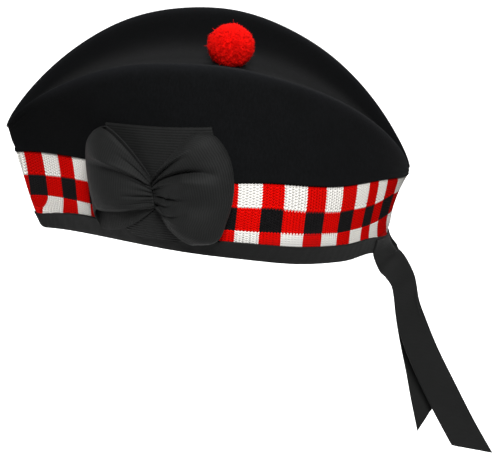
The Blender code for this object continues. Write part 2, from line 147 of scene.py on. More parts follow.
def level_height(level, angle):
    low = level.low_front + (level.low_back - level.low_front) * (1 - np.cos(angle)) / 2
    rise = level.high - (level.low_front + level.low_back) / 2
    arch = np.abs(np.sin(angle + level.lean * np.sin(angle))) ** level.arch
    shoulder = SHOULDER_FORM * np.sin(angle) ** 6 * np.maximum(np.cos(angle), 0) ** 2
    behind = np.sqrt(np.maximum(-np.cos(angle), 0))
    sag = np.sin(angle) ** 2 * behind * np.cos(6 * (angle - LOWEST_SAG))
    return CAP_HEIGHT * (low + rise * arch + level.shoulder * shoulder - level.sag * sag)


def seam_angle(y, angles):
    """Where a curve moved inwards comes back to the seam plane, going on from its end."""
    behind = np.nonzero(y < 0)[0]
    if len(behind) == 0:
        return angles[0]
    last = behind[-1]
    part = y[last] / (y[last] - y[last + 1])
    return angles[last] + part * (angles[last + 1] - angles[last])


def level_curve(level, shares, inset):
    """Points of a level from the front seam to the back seam, moved inwards by the inset."""
    step = 1e-5
    angles = np.linspace(0, math.pi, DENSE + 1)
    x, y = plan_point(level, angles)
    ahead = plan_point(level, angles + step)
    behind = plan_point(level, angles - step)
    run = ahead[0] - behind[0]
    swell = ahead[1] - behind[1]
    length = np.hypot(run, swell)
    x = x + inset * swell / length
    y = y - inset * run / length
    half = DENSE // 2
    first = seam_angle(y[:half], angles[:half])
    last = seam_angle(y[:half:-1], angles[:half:-1])
    at = first + (last - first) * shares
    y = np.interp(at, angles, y) * (shares > 0) * (shares < 1)
    return np.interp(at, angles, x), y, level_height(level, at), at


def between(rows, place):
    """A smooth curve through rows of points: place 0 is the first row, 1 the next."""
    index = min(int(place), len(rows) - 2)
    part = place - index
    here = rows[index]
    after = rows[index + 1]
    before = rows[index - 1] if index > 0 else 2 * here - after
    beyond = rows[index + 2] if index + 2 < len(rows) else 2 * after - here
    bend = 2 * before - 5 * here + 4 * after - beyond
    twist = 3 * here - before - 3 * after + beyond
    return 0.5 * (2 * here + (after - before) * part + bend * part**2 + twist * part**3)


def cap_form(shares, inset=0.0):
    """The cap's level curves from the rim to the bottom of the valley, for cap_row to run through."""
    wall = max(inset, 0.0)
    solid = 1 - np.sin(math.pi * shares) ** 0.5 if wall > 0 else 0 * shares
    sides = []
    for level in LEVELS:
        x, y, z, angle = level_curve(level, shares, inset)
        hollow = VALLEY_DEPTH * np.sin(angle) ** VALLEY_ONSET
        z = z - level.lid * (wall + hollow * solid)
        sides.append(np.stack([x, y, z], axis=-1))
    for dip in DIPS:
        down = hollow * (1 - solid) * dip.depth
        sides.append(sides[AT_RIDGE] * (1, dip.width, 1) - np.outer(down, (0, 0, 1)))
    return sides


def cap_row(form, shares, place):
    """Points at one place of the form: 0 rim, 1 bulge, 2 band top, 5 ridge, 8 bottom of the valley."""
    points = between(form, place)
    waist = math.sin(math.pi * min(max(place - AT_BULGE, 0), 1))
    points[:, 0] -= WAIST * waist * shares**WAIST_REACH
    if place > AT_RIDGE:
        tips = (shares == 0) | (shares == 1)
        points[tips] = form[AT_RIDGE][tips]
    return points


def near_side(points):
    return points * (1, -1, 1)


def new_piece(name, build, finish, slot, *nodes):
    """Turn a bmesh into a finished piece that rides on the cap and stands for these solids."""
    mesh = bpy.data.meshes.new(name)
    build.to_mesh(mesh)
    build.free()
    mesh.shade_smooth()
    mesh.materials.append(finish)
    piece = add_to_scene(name, mesh)
    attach(piece, "root")
    if nodes:
        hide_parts(*nodes)
    return piece


def grid_of(rows):
    """A bmesh grid with one line of vertices for each row of points."""
    build = bmesh.new()
    across = len(rows[0])
    bmesh.ops.create_grid(build, x_segments=across - 1, y_segments=len(rows) - 1, size=0.5)
    for vertex, point in zip(build.verts, (point for row in rows for point in row)):
        vertex.co = Vector(point)
    return build


def mirror_far_side(build):
    """Add the far half of a grid that ends on the plane through both seams, and face it outwards."""
    every = build.verts[:] + build.edges[:] + build.faces[:]
    bmesh.ops.mirror(build, geom=every, axis="Y", merge_dist=1e-5)
    bmesh.ops.remove_doubles(build, verts=build.verts, dist=1e-6)
    bmesh.ops.recalc_face_normals(build, faces=build.faces)


class Field:
    """A value or a colour on its way through a finish, so that its maths reads as arithmetic."""

    def __init__(self, finish, socket):
        self.finish = finish
        self.socket = socket

    def maths(self, operation, *values):
        inputs = dict(enumerate(values))
        return self.finish.node("ShaderNodeMath", {"operation": operation}, inputs)

    def __add__(self, other):
        return self.maths("ADD", self, other)

    def __sub__(self, other):
        return self.maths("SUBTRACT", self, other)

    def __rsub__(self, other):
        return self.maths("SUBTRACT", other, self)

    def __mul__(self, other):
        return self.maths("MULTIPLY", self, other)

    def __truediv__(self, other):
        return self.maths("DIVIDE", self, other)

    def __gt__(self, other):
        return self.maths("GREATER_THAN", self, other)

    def __mod__(self, other):
        return self.maths("FLOORED_MODULO", self, other)

    __radd__ = __add__
    __rmul__ = __mul__

    def wave(self):
        """A smooth wave between 0 and 1 that repeats with each whole number."""
        return self.maths("COSINE", self * (2 * math.pi)) * -0.5 + 0.5

    def whole(self):
        return self.maths("FLOOR", self)


class Finish:
    """A material of one cloth or yarn, on a Principled shader."""

    def __init__(self, name, **constants):
        self.material = bpy.data.materials.new(name)
        self.material.use_nodes = True
        self.tree = self.material.node_tree
        self.shader = self.tree.nodes["Principled BSDF"]
        for title, value in constants.items():
            self.shader.inputs[title.replace("_", " ")].default_value = value

    def node(self, kind, settings=None, inputs=None, output=0):
        """Add a node with its settings and the values or links of its sockets, and give its output."""
        made = self.tree.nodes.new(kind)
        for title, value in (settings or {}).items():
            setattr(made, title, value)
        for title, value in (inputs or {}).items():
            if isinstance(value, Field):
                self.tree.links.new(value.socket, made.inputs[title])
            else:
                made.inputs[title].default_value = value
        return Field(self, made.outputs[output])

    def place(self):
        return self.node("ShaderNodeTexCoord", output="Object")

    def flat(self):
        """The piece's own flat layout, as two values."""
        layout = self.node("ShaderNodeUVMap", {"uv_map": "layout"})
        split = self.node("ShaderNodeSeparateXYZ", inputs={0: layout})
        return split, Field(self, split.socket.node.outputs[1])

    def mark(self, name):
        return self.node("ShaderNodeAttribute", {"attribute_name": name}, output="Fac")

    def cloud(self, scale, detail=2.0, rough=0.5, stretch=None):
        """Noise from 0 to 1 through the piece's own space, the scale in bumps a metre."""
        where = self.place()
        if stretch:
            where = self.node("ShaderNodeMapping", inputs={"Vector": where, "Scale": stretch})
        inputs = {"Vector": where, "Scale": scale, "Detail": detail, "Roughness": rough}
        return self.node("ShaderNodeTexNoise", inputs=inputs)

    def ramp(self, value, low, high):
        """Stretch a value so that low is 0 and high is 1."""
        inputs = {"Value": value, "From Min": low, "From Max": high}
        return self.node("ShaderNodeMapRange", inputs=inputs)

    def blend(self, share, first, second):
        """A colour between two, each a Field or three numbers."""
        colours = [c if isinstance(c, Field) else (*c, 1) for c in (first, second)]
        inputs = {0: share, 6: colours[0], 7: colours[1]}
        return self.node("ShaderNodeMix", {"data_type": "RGBA"}, inputs, output=2)

    def feed(self, title, value):
        self.tree.links.new(value.socket, self.shader.inputs[title])

    def bump(self, height, depth, strength=1.0):
        """Raise the surface by a height from 0 to 1 times this depth in metres."""
        inputs = {"Height": height, "Distance": depth, "Strength": strength}
        below = self.shader.inputs["Normal"]
        if below.is_linked:
            inputs["Normal"] = Field(self, below.links[0].from_socket)
        self.feed("Normal", self.node("ShaderNodeBump", inputs=inputs))


def set_mark(piece, name, values):
    """Keep a value for each vertex of a piece, for its finish to read."""
    mark = piece.data.attributes.new(name, "FLOAT", "POINT")
    mark.data.foreach_set("value", np.asarray(values, np.float32))


def corners_of(piece):
    points = np.empty(len(piece.data.vertices) * 3, np.float32)
    piece.data.vertices.foreach_get("co", points)
    return points.reshape(-1, 3)


FELT_BLACK = (0.0028, 0.0030, 0.0032)
# A lighter felt for worn nap and grain, and for the painted highlight along the ridges
FELT_WORN_AND_LIT = (0.0078, 0.0082, 0.0092)
# A deeper black for the painted shade between the ridges
FELT_PAINTED_SHADE = (0.0009, 0.0010, 0.0011)
felt = Finish(
    "black_felt", Roughness=0.95, Specular_IOR_Level=0.04, Sheen_Weight=0.008, Sheen_Roughness=0.4
)
nap = felt.cloud(2600, 3.0, 0.65)
mottle = felt.cloud(70, 4.0, 0.6)
fibres = felt.cloud(900, 3.0, 0.7, (1.0, 1.0, 0.35))
# Lighter along the ridges: partly worn nap, partly a painted highlight
fold_wear_and_highlight = felt.mark("ridge_wear_and_highlight")
worn_and_lit = felt.ramp(fold_wear_and_highlight * 0.75 + mottle * 0.35 + fibres * 0.7, 0.42, 1.38)
# Painted shade darkens the felt between the ridges and at the front of the valley
painted_valley_shade = felt.mark("painted_valley_shade") * 0.62
felt.feed("Base Color", felt.blend(painted_valley_shade, felt.blend(worn_and_lit, FELT_BLACK, FELT_WORN_AND_LIT), FELT_PAINTED_SHADE))
felt.feed("Roughness", 0.86 + nap * 0.12)
felt.bump(nap, 0.00018, 0.8)
felt.bump(fibres, 0.00022, 0.6)

CROWN_COLUMNS = 200
SHARES = np.linspace(0, 1, CROWN_COLUMNS + 1)
# The rows from the valley up to the ridge, from a step below it down to the band, and back up inside
VALLEY_ROWS = 34
SIDE_ROWS = 74
INNER_ROWS = 26
RIDGE_STEP = 0.05
# The felt's turned edge over the band: how proud it stands, how many places of the form that reaches
# up, and how far out the skin lies that shows the way
EDGE_ROLL = 0.0009
EDGE_REACH = 0.22
PROUD = 0.001
# How far the felt is uneven, and in how many bumps a metre
UNEVEN = 0.0005
UNEVEN_SCALE = 22
valley_places = np.linspace(AT_VALLEY, AT_RIDGE, VALLEY_ROWS)
side_places = np.linspace(AT_RIDGE - RIDGE_STEP, AT_BAND_TOP, SIDE_ROWS)
inner_places = np.linspace(AT_BAND_TOP, AT_VALLEY, INNER_ROWS)
outside = cap_form(SHARES)
inside = cap_form(SHARES, FELT)
proud_skin = cap_form(SHARES, -PROUD)
crown_rows = []
for place in [*valley_places, *side_places]:
    row = cap_row(outside, SHARES, place)
    roll = EDGE_ROLL * max(0, 1 - (place - AT_BAND_TOP) / EDGE_REACH)
    row = row + (cap_row(proud_skin, SHARES, place) - row) * roll / PROUD
    crown_rows.append(near_side(row + (0, 0, GAP * (place == AT_BAND_TOP))))
for place in inner_places:
    row = cap_row(inside, SHARES, place)
    crown_rows.append(near_side(row + (0, 0, GAP * (place == AT_BAND_TOP))))
crown_build = grid_of(crown_rows)
mirror_far_side(crown_build)
for vertex in crown_build.verts:
    place = vertex.co * UNEVEN_SCALE
    vertex.co += vertex.normal * UNEVEN * noise.noise(Vector((place.x, abs(place.y), place.z)))
crown = new_piece("felt_crown", crown_build, felt.material, "felt", "crown")
# The felt is painted lighter within this distance of the ridges: partly nap worn along the folds,
# partly a painted highlight along the ridges
FOLD_WEAR_AND_HIGHLIGHT = 0.0045
points = corners_of(crown)
ridge = outside[AT_RIDGE]
ridge_z = np.interp(points[:, 0], ridge[:, 0], ridge[:, 2])
ridge_y = np.interp(points[:, 0], ridge[:, 0], ridge[:, 1])
near = np.hypot(points[:, 2] - ridge_z, np.abs(points[:, 1]) - ridge_y)
set_mark(crown, "ridge_wear_and_highlight", np.exp(-((near / FOLD_WEAR_AND_HIGHLIGHT) ** 2)))
# The felt is painted darker, as painted shade, on the walls between the ridges and at the front of the
# valley. On a wall this starts at a share of the way out to the ridge, is full another share further,
# and fades out over the last share. At the front it starts and is full so many metres before the
# middle. The ridge's width is taken as no less than the least, near its tips.
WALL_FROM = 0.25
WALL_REACH = 0.3
WALL_FADE = 0.1
FRONT_FROM = 0.025
FRONT_REACH = 0.05
LEAST_RIDGE = 0.004
out = np.abs(points[:, 1]) / np.maximum(ridge_y, LEAST_RIDGE)
front = np.clip((-points[:, 0] - FRONT_FROM) / FRONT_REACH, 0, 1)
walls = np.clip((out - WALL_FROM) / WALL_REACH + front, 0, 1)
set_mark(crown, "painted_valley_shade", walls * np.clip((1 - out) / WALL_FADE, 0, 1))


# Diced band: a strip of fine wool knit round the head, in three rows of red, white and black dice.
# The strip is straight, so the front and the back seam cut its columns off at a slant. Each stitch is
# a V of two strands, and the ground under them has the same dice.
# How thick the knit is, and the ribbons
KNIT = 0.002
RIBBON = 0.001
# The stitches across a die and down it, and the height of one
WALES = 7
COURSES = 9
COURSE = 0.00147
# How much of the binding shows above the rim
BINDING_HEIGHT = 0.0097
AT_BINDING_TOP = BINDING_HEIGHT / (CAP_HEIGHT * BULGE.low_front)
# The dice's edges round the side, in metres from mid side, from the front seam to the back seam
DICE_EDGES = 0.001 * np.array([
    -166, -149, -136, -124, -112, -101, -86.5, -72, -57.5, -43, -28.5, -14, 0.7, 14, 27, 41, 54,
    65.5, 76.5, 86.5, 95, 103.5, 116.5, 130, 143, 156,
])
# Where the first row of dice ends and where the second ends, as places of the cap's form by share
ROW_SHARES = (0.0, 0.15, 0.28, 0.56, 0.63, 0.70, 0.79, 0.88, 1.0)
FIRST_ENDS = (1.47, 1.48, 1.53, 1.52, 1.47, 1.45, 1.48, 1.62, 1.66)
SECOND_ENDS = (1.05, 1.06, 1.04, 1.01, 0.98, 0.97, 1.09, 1.22, 1.27)
# The front half's columns draw together towards the rim and the back half's spread a little, by these
# shares of their distance from mid side.
DRAW_IN = 0.04
SPREAD_OUT = 0.02
# In the first and the last of so many parts of the side, the lower dice slant towards the seam, by so
# many metres for each place of the form below where that starts, and at the front by MOST_PULL at most
END_PARTS = 5
FRONT_PULL = 0.0275
PULL_START = 1.03
MOST_PULL = 0.0095
BACK_PUSH = 0.018
PUSH_START = 1.1
BAND_STEPS = 80
YARN_RED = (0.68, 0.0022, 0.0006)
YARN_WHITE = (0.77, 0.755, 0.72)
YARN_BLACK = (0.0085, 0.0080, 0.0082)


def run_length(points):
    """How far along rows of points each one lies. The first axis runs along the rows."""
    steps = np.linalg.norm(np.diff(points, axis=0), axis=-1)
    return np.concatenate([np.zeros((1, *steps.shape[1:])), np.cumsum(steps, axis=0)])


band_places = np.linspace(0, AT_BAND_TOP, BAND_STEPS + 1)
fine_shares = np.linspace(0, 1, DENSE + 1)
band_form = cap_form(fine_shares)
band_net = np.array([cap_row(band_form, fine_shares, place) for place in band_places])
net_along = run_length(np.swapaxes(band_net, 0, 1)).T
net_along -= net_along[:, DENSE // 2, None]
band_up = band_places[:, None]
net_along /= 1 - np.where(net_along < 0, DRAW_IN, -SPREAD_OUT) * (1 - band_up / AT_BAND_TOP)
pull = np.clip(FRONT_PULL * (PULL_START - band_up), 0, MOST_PULL)
push = BACK_PUSH * np.maximum(PUSH_START - band_up, 0)
net_along += pull * np.maximum(1 - END_PARTS * fine_shares, 0)
net_along -= push * np.maximum(END_PARTS * fine_shares - (END_PARTS - 1), 0)


def courses_down(points, share):
    """How many courses of stitches lie above each point of a column that runs up from the rim."""
    first = np.interp(share, ROW_SHARES, FIRST_ENDS)
    second = np.interp(share, ROW_SHARES, SECOND_ENDS)
    height = run_length(points)
    lower = 2 * COURSES + (np.interp(second, band_places, height) - height) / COURSE
    upper = np.interp(band_places, (second, first, AT_BAND_TOP), (2 * COURSES, COURSES, 0))
    return np.where(band_places > second, upper, lower)


# How far the front corner's rounding reaches, and how the front seam leans forwards as it rises
FRONT_CORNER = 0.005
FRONT_RAKE = 0.4
RIM_FRONT = -CAP_LENGTH / 2 * RIM.front - GAP - RIBBON


def round_front(points):
    """Round the rim's corner at the front seam, where the strip and its binding turn up a little."""
    behind = points[:, 0] - RIM_FRONT + FRONT_RAKE * points[:, 2]
    share = np.clip(1 - behind / FRONT_CORNER, 0, 1)
    lift = FRONT_CORNER * (1 - np.sqrt(1 - share**2)) * np.clip(1 - points[:, 2] / BINDING_HEIGHT, 0, 1)
    return points + np.outer(lift, (0, 0, 1))


# The waves of the rim: where each is, how far it reaches and how far it drops, in metres
Wave = namedtuple("Wave", "middle reach drop")
RIM_WAVES = (
    Wave(-0.070, 0.032, 0.0008),
    Wave(0.056, 0.026, 0.0019),
    Wave(0.096, 0.009, -0.0026),
    Wave(0.112, 0.007, 0.0016),
)
# How much less the binding's top moves than the rim, as a share
RIM_HOLD = 0.2
# How far the binding's upper edge dips near the front seam and rises again under and behind the
# cockade, as shares of the binding's height
TOP_WAVES = (
    Wave(-0.100, 0.018, 0.24),
    Wave(-0.066, 0.016, -0.15),
    Wave(0.030, 0.028, -0.10),
)


def top_drop(x):
    return sum(wave.drop * np.exp(-(((x - wave.middle) / wave.reach) ** 2)) for wave in TOP_WAVES)


def wave_rim(points, place):
    """Wave the rim up and down, and what lies above it at this place of the form by a smaller share."""
    held = np.clip(1 - RIM_HOLD * place / AT_BINDING_TOP, 0, 1)
    for wave in RIM_WAVES:
        drop = wave.drop * held * np.exp(-(((points[:, 0] - wave.middle) / wave.reach) ** 2))
        points = points - np.outer(drop, (0, 0, 1))
    return points


# The ground is a closed ring, up the outside and down the lining, from these rows and columns of the
# strip's own net
GROUND_COLUMN_STEP = 3
GROUND_ROW_STEP = 2
LINING_ROW_STEP = 8
outer_rows = np.arange(0, BAND_STEPS + 1, GROUND_ROW_STEP)
lining_rows = np.arange(BAND_STEPS, -1, -LINING_ROW_STEP)
ring = np.concatenate([outer_rows, lining_rows])
ground_columns = np.arange(0, DENSE + 1, GROUND_COLUMN_STEP)
ground_shares = fine_shares[ground_columns]
lining_form = cap_form(ground_shares, KNIT)
ground_net = [band_net[row, ground_columns] for row in outer_rows]
ground_net += [cap_row(lining_form, ground_shares, band_places[row]) for row in lining_rows]
ground_rows = [
    near_side(wave_rim(round_front(points), band_places[row])) for row, points in zip(ring, ground_net)
]
net_dice = np.interp(net_along[:, ground_columns], DICE_EDGES, np.arange(len(DICE_EDGES)))
net_courses = np.array(
    [courses_down(band_net[:, column], fine_shares[column]) for column in ground_columns]
).T


def close_round(build, rows):
    """Join the last row of a grid to its first one, so that its section is a closed ring."""
    build.edges.ensure_lookup_table()
    build.verts.ensure_lookup_table()
    across = len(rows[0])
    first = set(build.verts[:across])
    last = set(build.verts[-across:])
    ends = [edge for edge in build.edges if set(edge.verts) <= first or set(edge.verts) <= last]
    bmesh.ops.bridge_loops(build, edges=ends)


def lay_flat(build, u, v):
    """Give a grid its flat layout, a value of u and of v for each vertex in order."""
    layout = build.loops.layers.uv.new("layout")
    build.verts.index_update()
    for face in build.faces:
        for loop in face.loops:
            index = loop.vert.index
            loop[layout].uv = (u[index], v[index])


# Each colour of the ground in its shadows and out of them
GROUND_RED = ((0.46, 0.0016, 0.0006), (0.60, 0.002, 0.0007))
GROUND_WHITE = ((0.68, 0.67, 0.64), (0.76, 0.75, 0.71))
GROUND_BLACK = (0.005, 0.005, 0.006)
ground = Finish("diced_ground", Roughness=0.95, Specular_IOR_Level=0.1)
dice, course = ground.flat()
odd = (dice % 2.0) > 1.0
even = 1.0 - odd
row = (course / COURSES).whole()
second_row = (row > 0.5) * (1.0 - (row > 1.5))
shadow = ground.ramp(ground.cloud(1500, 2.0), 0.2, 0.8)
red = ground.blend(shadow, *GROUND_RED)
white = ground.blend(shadow, *GROUND_WHITE)
plain = ground.blend(even * (1.0 - second_row), red, white)
ground.feed("Base Color", ground.blend(odd * second_row, plain, GROUND_BLACK))
ground.bump((dice * WALES).wave() * course.wave(), 0.0003, 0.6)
ground_build = grid_of(ground_rows)
close_round(ground_build, ground_rows)
lay_flat(ground_build, net_dice[ring].ravel(), net_courses[ring].ravel())
mirror_far_side(ground_build)
new_piece("knit_ground", ground_build, ground.material, "diced_knit", "diced_band")


def yarn(name, colour, deep, seam):
    """Wool of one colour, deeper at random, with painted shade between its fibres and towards the seams."""
    made = Finish(name, Roughness=0.9, Specular_IOR_Level=0.03)
    fuzz = made.cloud(5200, 3.0, 0.6)
    tone = made.mark("tone")
    plain = made.blend(made.ramp(tone + fuzz * 0.3, 0.1, 1.1), deep, colour)
    made.feed("Base Color", made.blend(made.mark("painted_seam_shade"), plain, seam))
    made.bump(fuzz, 0.00012, 0.8)
    return made.material


KnitColumn = namedtuple("KnitColumn", "course points outward held")


def unit(vectors):
    return vectors / np.linalg.norm(vectors, axis=-1, keepdims=True)


def knit_column(along):
    """The band at one distance from mid side, as points down from its top."""
    shares = np.array([np.interp(along, line, fine_shares) for line in net_along])
    index = shares * DENSE
    low = np.minimum(index.astype(int), DENSE - 1)
    part = (index - low)[:, None]
    rows = np.arange(len(band_places))
    points = band_net[rows, low] * (1 - part) + band_net[rows, low + 1] * part
    round_it = band_net[rows, low + 1] - band_net[rows, low]
    up_it = np.gradient(points, axis=0)
    outward = unit(np.cross(up_it, round_it))
    outward *= np.sign(outward[:, 1:2])
    held = ((along > net_along[:, 0]) & (along < net_along[:, -1])).astype(float)
    course = courses_down(points, np.interp(MID_BAND, band_places, shares))
    return KnitColumn(course[::-1], points[::-1], outward[::-1], held[::-1])


# The place where a column's share along the side is read, to find its rows of dice
MID_BAND = 1.5
# How far the stitches run on under the binding's edge, in places of the form
UNDER_EDGE = 0.08
wale_count = (len(DICE_EDGES) - 1) * WALES
half_wales = np.arange(2 * wale_count + 1) / (2 * WALES)
wale_lines = np.interp(half_wales, np.arange(len(DICE_EDGES)), DICE_EDGES)
knit_columns = [knit_column(along) for along in wale_lines]
binding_courses = []
for column in knit_columns:
    edge_x = np.interp(AT_BINDING_TOP, band_places, column.points[::-1, 0])
    edge_place = AT_BINDING_TOP * (1 - top_drop(edge_x)) - UNDER_EDGE
    binding_courses.append(np.interp(edge_place, band_places, column.course[::-1]))
# A stitch's two legs run from its foot up and aside to their tips, the rise and the foot in courses. The
# tips spread by a share of half a wale, for red, white and black wool, and the foot is split by another.
# The width, the depth and how proud a leg stands are in metres, and it is longer than its run by a share.
LEG_RISE = 0.52
LEG_FOOT = 0.50
LEG_SPREADS = (0.96, 1.22, 0.92)
LEG_SPLIT = 0.12
LEG_WIDTH = 0.00092
LEG_DEPTH = 0.00062
LEG_PROUD = 0.00008
LEG_LONGER = 1.24
# Every second wale lies this share of a course lower, and the ones between as much higher, by less at
# the edges of the dice
STAGGER = 0.25
EDGE_STAGGER = 0.15


def column_at(number, course):
    """Point and outward direction at a course of a column, or nothing past the seams and the binding."""
    column = knit_columns[number]
    if course > binding_courses[number] or np.interp(course, column.course, column.held) < 0.999:
        return None
    point = [np.interp(course, column.course, column.points[:, axis]) for axis in range(3)]
    outward = [np.interp(course, column.course, column.outward[:, axis]) for axis in range(3)]
    return np.array(point), np.array(outward)


def die_colour(wale, course):
    """0 red, 1 white or 2 black."""
    if (wale // WALES) % 2:
        return 2 if course // COURSES == 1 else 0
    return 0 if course // COURSES == 1 else 1


legs = [[], [], []]
stitch_tones = np.random.default_rng(3).uniform(0.35, 0.95, (wale_count, 3 * COURSES))
# The top course of each row of dice catches more light
stitch_tones[:, ::COURSES] += 0.25
for wale in range(wale_count):
    for course in range(0, 3 * COURSES):
        edge_share = EDGE_STAGGER if course % COURSES in (0, COURSES - 1) else 1.0
        stagger = 0.5 + edge_share * (STAGGER if wale % 2 else -STAGGER)
        foot = column_at(2 * wale + 1, course + stagger + LEG_FOOT)
        middle = column_at(2 * wale + 1, max(course + stagger - LEG_RISE, 0))
        for side in (0, 2):
            tip = column_at(2 * wale + side, max(course + stagger - LEG_RISE, 0))
            if foot and tip:
                colour = die_colour(wale, course)
                end = middle[0] + (tip[0] - middle[0]) * LEG_SPREADS[colour]
                start = foot[0] + (tip[0] - middle[0]) * LEG_SPLIT
                legs[colour].append((start, end, foot[1], stitch_tones[wale, course]))


def small_form(build):
    """The points and the faces of a small shape, for many_of to copy."""
    points = np.array([vertex.co[:] for vertex in build.verts])
    faces = [[vertex.index for vertex in face.verts] for face in build.faces]
    build.free()
    return points, faces


def many_of(points, faces, places):
    """One mesh of many copies of a small form, each with its own three axes and middle."""
    middle, axes = places
    verts = middle[:, None, :] + np.einsum("vk,nkd->nvd", points, axes)
    count = len(points)
    all_faces = [
        [index + count * number for index in face] for number in range(len(middle)) for face in faces
    ]
    mesh = bpy.data.meshes.new("many")
    mesh.from_pydata(verts.reshape(-1, 3).tolist(), [], all_faces)
    build = bmesh.new()
    build.from_mesh(mesh)
    bpy.data.meshes.remove(mesh)
    return build


def knit_strands(found):
    """Where each strand lies: its middle, and its axes across, outwards and along, on both sides."""
    start, end, outward, _ = (np.array(column) for column in zip(*found))
    along = end - start
    across = unit(np.cross(along, outward))
    middle = (start + end) / 2 + outward * LEG_PROUD
    axes = np.stack([across * LEG_WIDTH, outward * LEG_DEPTH, along * LEG_LONGER], axis=1)
    return np.concatenate([near_side(middle), middle]), np.concatenate([near_side(axes), axes])


leg_build = bmesh.new()
bmesh.ops.create_uvsphere(leg_build, u_segments=4, v_segments=3, radius=0.5)
leg_points, leg_faces = small_form(leg_build)
# The wool is painted darker towards the seams, as painted shade: how far from mid side that starts, and
# over what distance
SEAM_SHADE_FROM = 0.045
SEAM_SHADE_REACH = 0.058
for name, colour, deep, seam, found in (
    ("knit_red", YARN_RED, (0.56, 0.0014, 0.0005), (0.40, 0.0012, 0.0005), legs[0]),
    ("knit_white", YARN_WHITE, (0.72, 0.71, 0.68), (0.63, 0.61, 0.57), legs[1]),
    ("knit_black", YARN_BLACK, (0.0035, 0.0036, 0.0038), YARN_BLACK, legs[2]),
):
    places = knit_strands(found)
    strands = many_of(leg_points, leg_faces, places)
    bmesh.ops.recalc_face_normals(strands, faces=strands.faces)
    knit = new_piece(name, strands, yarn(name + "_yarn", colour, deep, seam), "diced_knit")
    tones = [strand[3] for strand in found] * 2
    set_mark(knit, "tone", np.repeat(tones, len(leg_points)))
    # Painted shade: the strands are darkened towards the seams
    painted_seam_shade = np.clip((np.abs(places[0][:, 0]) - SEAM_SHADE_FROM) / SEAM_SHADE_REACH, 0, 1)
    set_mark(knit, "painted_seam_shade", np.repeat(painted_seam_shade, len(leg_points)))


# Rim binding: a black grosgrain ribbon folded over the band's lower edge and sewn through all of it.
# Its ribs run across the ribbon, so they stand upright round the rim.
RIB = 0.0009
RIB_DEPTH = 0.00007
RIBBON_BLACK = (0.0042, 0.0044, 0.0043)
# How far apart the fine threads along the ribbon lie
THREAD = 0.00035
BINDING_LIGHT = (0.0100, 0.0103, 0.0101)
OUTSIDE = -(GAP + RIBBON / 2)
INSIDE = KNIT + GAP + RIBBON / 2
UNDER = GAP + RIBBON / 2
# Steps across the folded ribbon: the inset from the band's outside, the place of the form and the drop
Step = namedtuple("Step", "inset place drop")
BINDING_STEPS = (
    Step(OUTSIDE, AT_BINDING_TOP, 0),
    Step(OUTSIDE, AT_BINDING_TOP * 0.94, 0),
    Step(OUTSIDE, AT_BINDING_TOP * 0.75, 0),
    Step(OUTSIDE, AT_BINDING_TOP / 2, 0),
    Step(OUTSIDE, AT_BINDING_TOP / 4, 0),
    Step(OUTSIDE, 0, GAP / 2),
    Step(OUTSIDE + UNDER * 0.3, 0, UNDER * 0.8),
    Step(OUTSIDE + UNDER, 0, UNDER),
    Step(INSIDE - UNDER, 0, UNDER),
    Step(INSIDE - UNDER * 0.3, 0, UNDER * 0.8),
    Step(INSIDE, 0, GAP / 2),
    Step(INSIDE, AT_BINDING_TOP / 4, 0),
    Step(INSIDE, AT_BINDING_TOP / 2, 0),
    Step(INSIDE, AT_BINDING_TOP * 0.94, 0),
)


def ribbon_finish(name, light, rib=False):
    """Black grosgrain. The layout's v runs along the ribbon, and rib asks for its ribs as a bump."""
    made = Finish(name, Roughness=0.62, Sheen_Weight=0.012, Sheen_Roughness=0.4, Specular_IOR_Level=0.07)
    u, v = made.flat()
    threads = made.cloud(5000, 2.0, 0.6)
    mottle = made.cloud(160, 3.0, 0.6)
    ribs = (v * (1 / RIB)).wave()
    shade = made.ramp(ribs * 0.5 + threads * 0.35 + mottle * 0.5, 0.15, 1.1)
    made.feed("Base Color", made.blend(shade, RIBBON_BLACK, light))
    made.feed("Roughness", 0.52 + mottle * 0.2)
    made.bump((u * (1 / THREAD)).wave() * 0.6 + threads * 0.6, 0.00006, 0.7)
    if rib:
        made.bump(ribs, RIB_DEPTH, 0.8)
    return made.material


def thicken(piece, thickness):
    """Give a ribbon its thickness, half of it to either side."""
    wall = piece.modifiers.new("ribbon", "SOLIDIFY")
    wall.thickness = thickness
    wall.offset = 0.0


# How deep the binding puckers, over what share of its height the stitches along its upper edge hold it
# flatter, and how near the seams it lies flat, as a sine
PUCKER = 0.00012
STITCHED = 0.3
SEAM_FLAT = 0.05
# What the layout counts across the ribbon for each step
STEP_ACROSS = 0.001
BINDING_COLUMNS = 480
binding_ribbon = ribbon_finish("binding_grosgrain", BINDING_LIGHT, rib=True)
binding_shares = np.linspace(0, 1, BINDING_COLUMNS + 1)
binding_rows = []
binding_v = []
binding_u = []
for number, step in enumerate(BINDING_STEPS):
    form = cap_form(binding_shares, step.inset)
    row = cap_row(form, binding_shares, step.place)
    lower = cap_row(form, binding_shares, step.place / 2)
    row = row + (lower - row) * 2 * top_drop(row[:, :1]) - (0, 0, step.drop)
    edge = max(0, 1 - abs(step.place - AT_BINDING_TOP) / (STITCHED * AT_BINDING_TOP))
    pucker = PUCKER * np.sin(binding_shares * 260) * np.sin(binding_shares * 97 + number)
    pucker = pucker * (1 - edge / 2) * (np.sin(math.pi * binding_shares) > SEAM_FLAT)
    row = row + np.outer(pucker, (0, 1, 0))
    binding_rows.append(near_side(wave_rim(round_front(row), step.place)))
    binding_v.append(run_length(row))
    binding_u.append(np.full(len(row), STEP_ACROSS * number))
binding_build = grid_of(binding_rows)
lay_flat(binding_build, np.concatenate(binding_u), np.concatenate(binding_v))
mirror_far_side(binding_build)
binding = new_piece("ribbon_binding", binding_build, binding_ribbon, "binding_ribbon", "rim_binding")
thicken(binding, RIBBON)


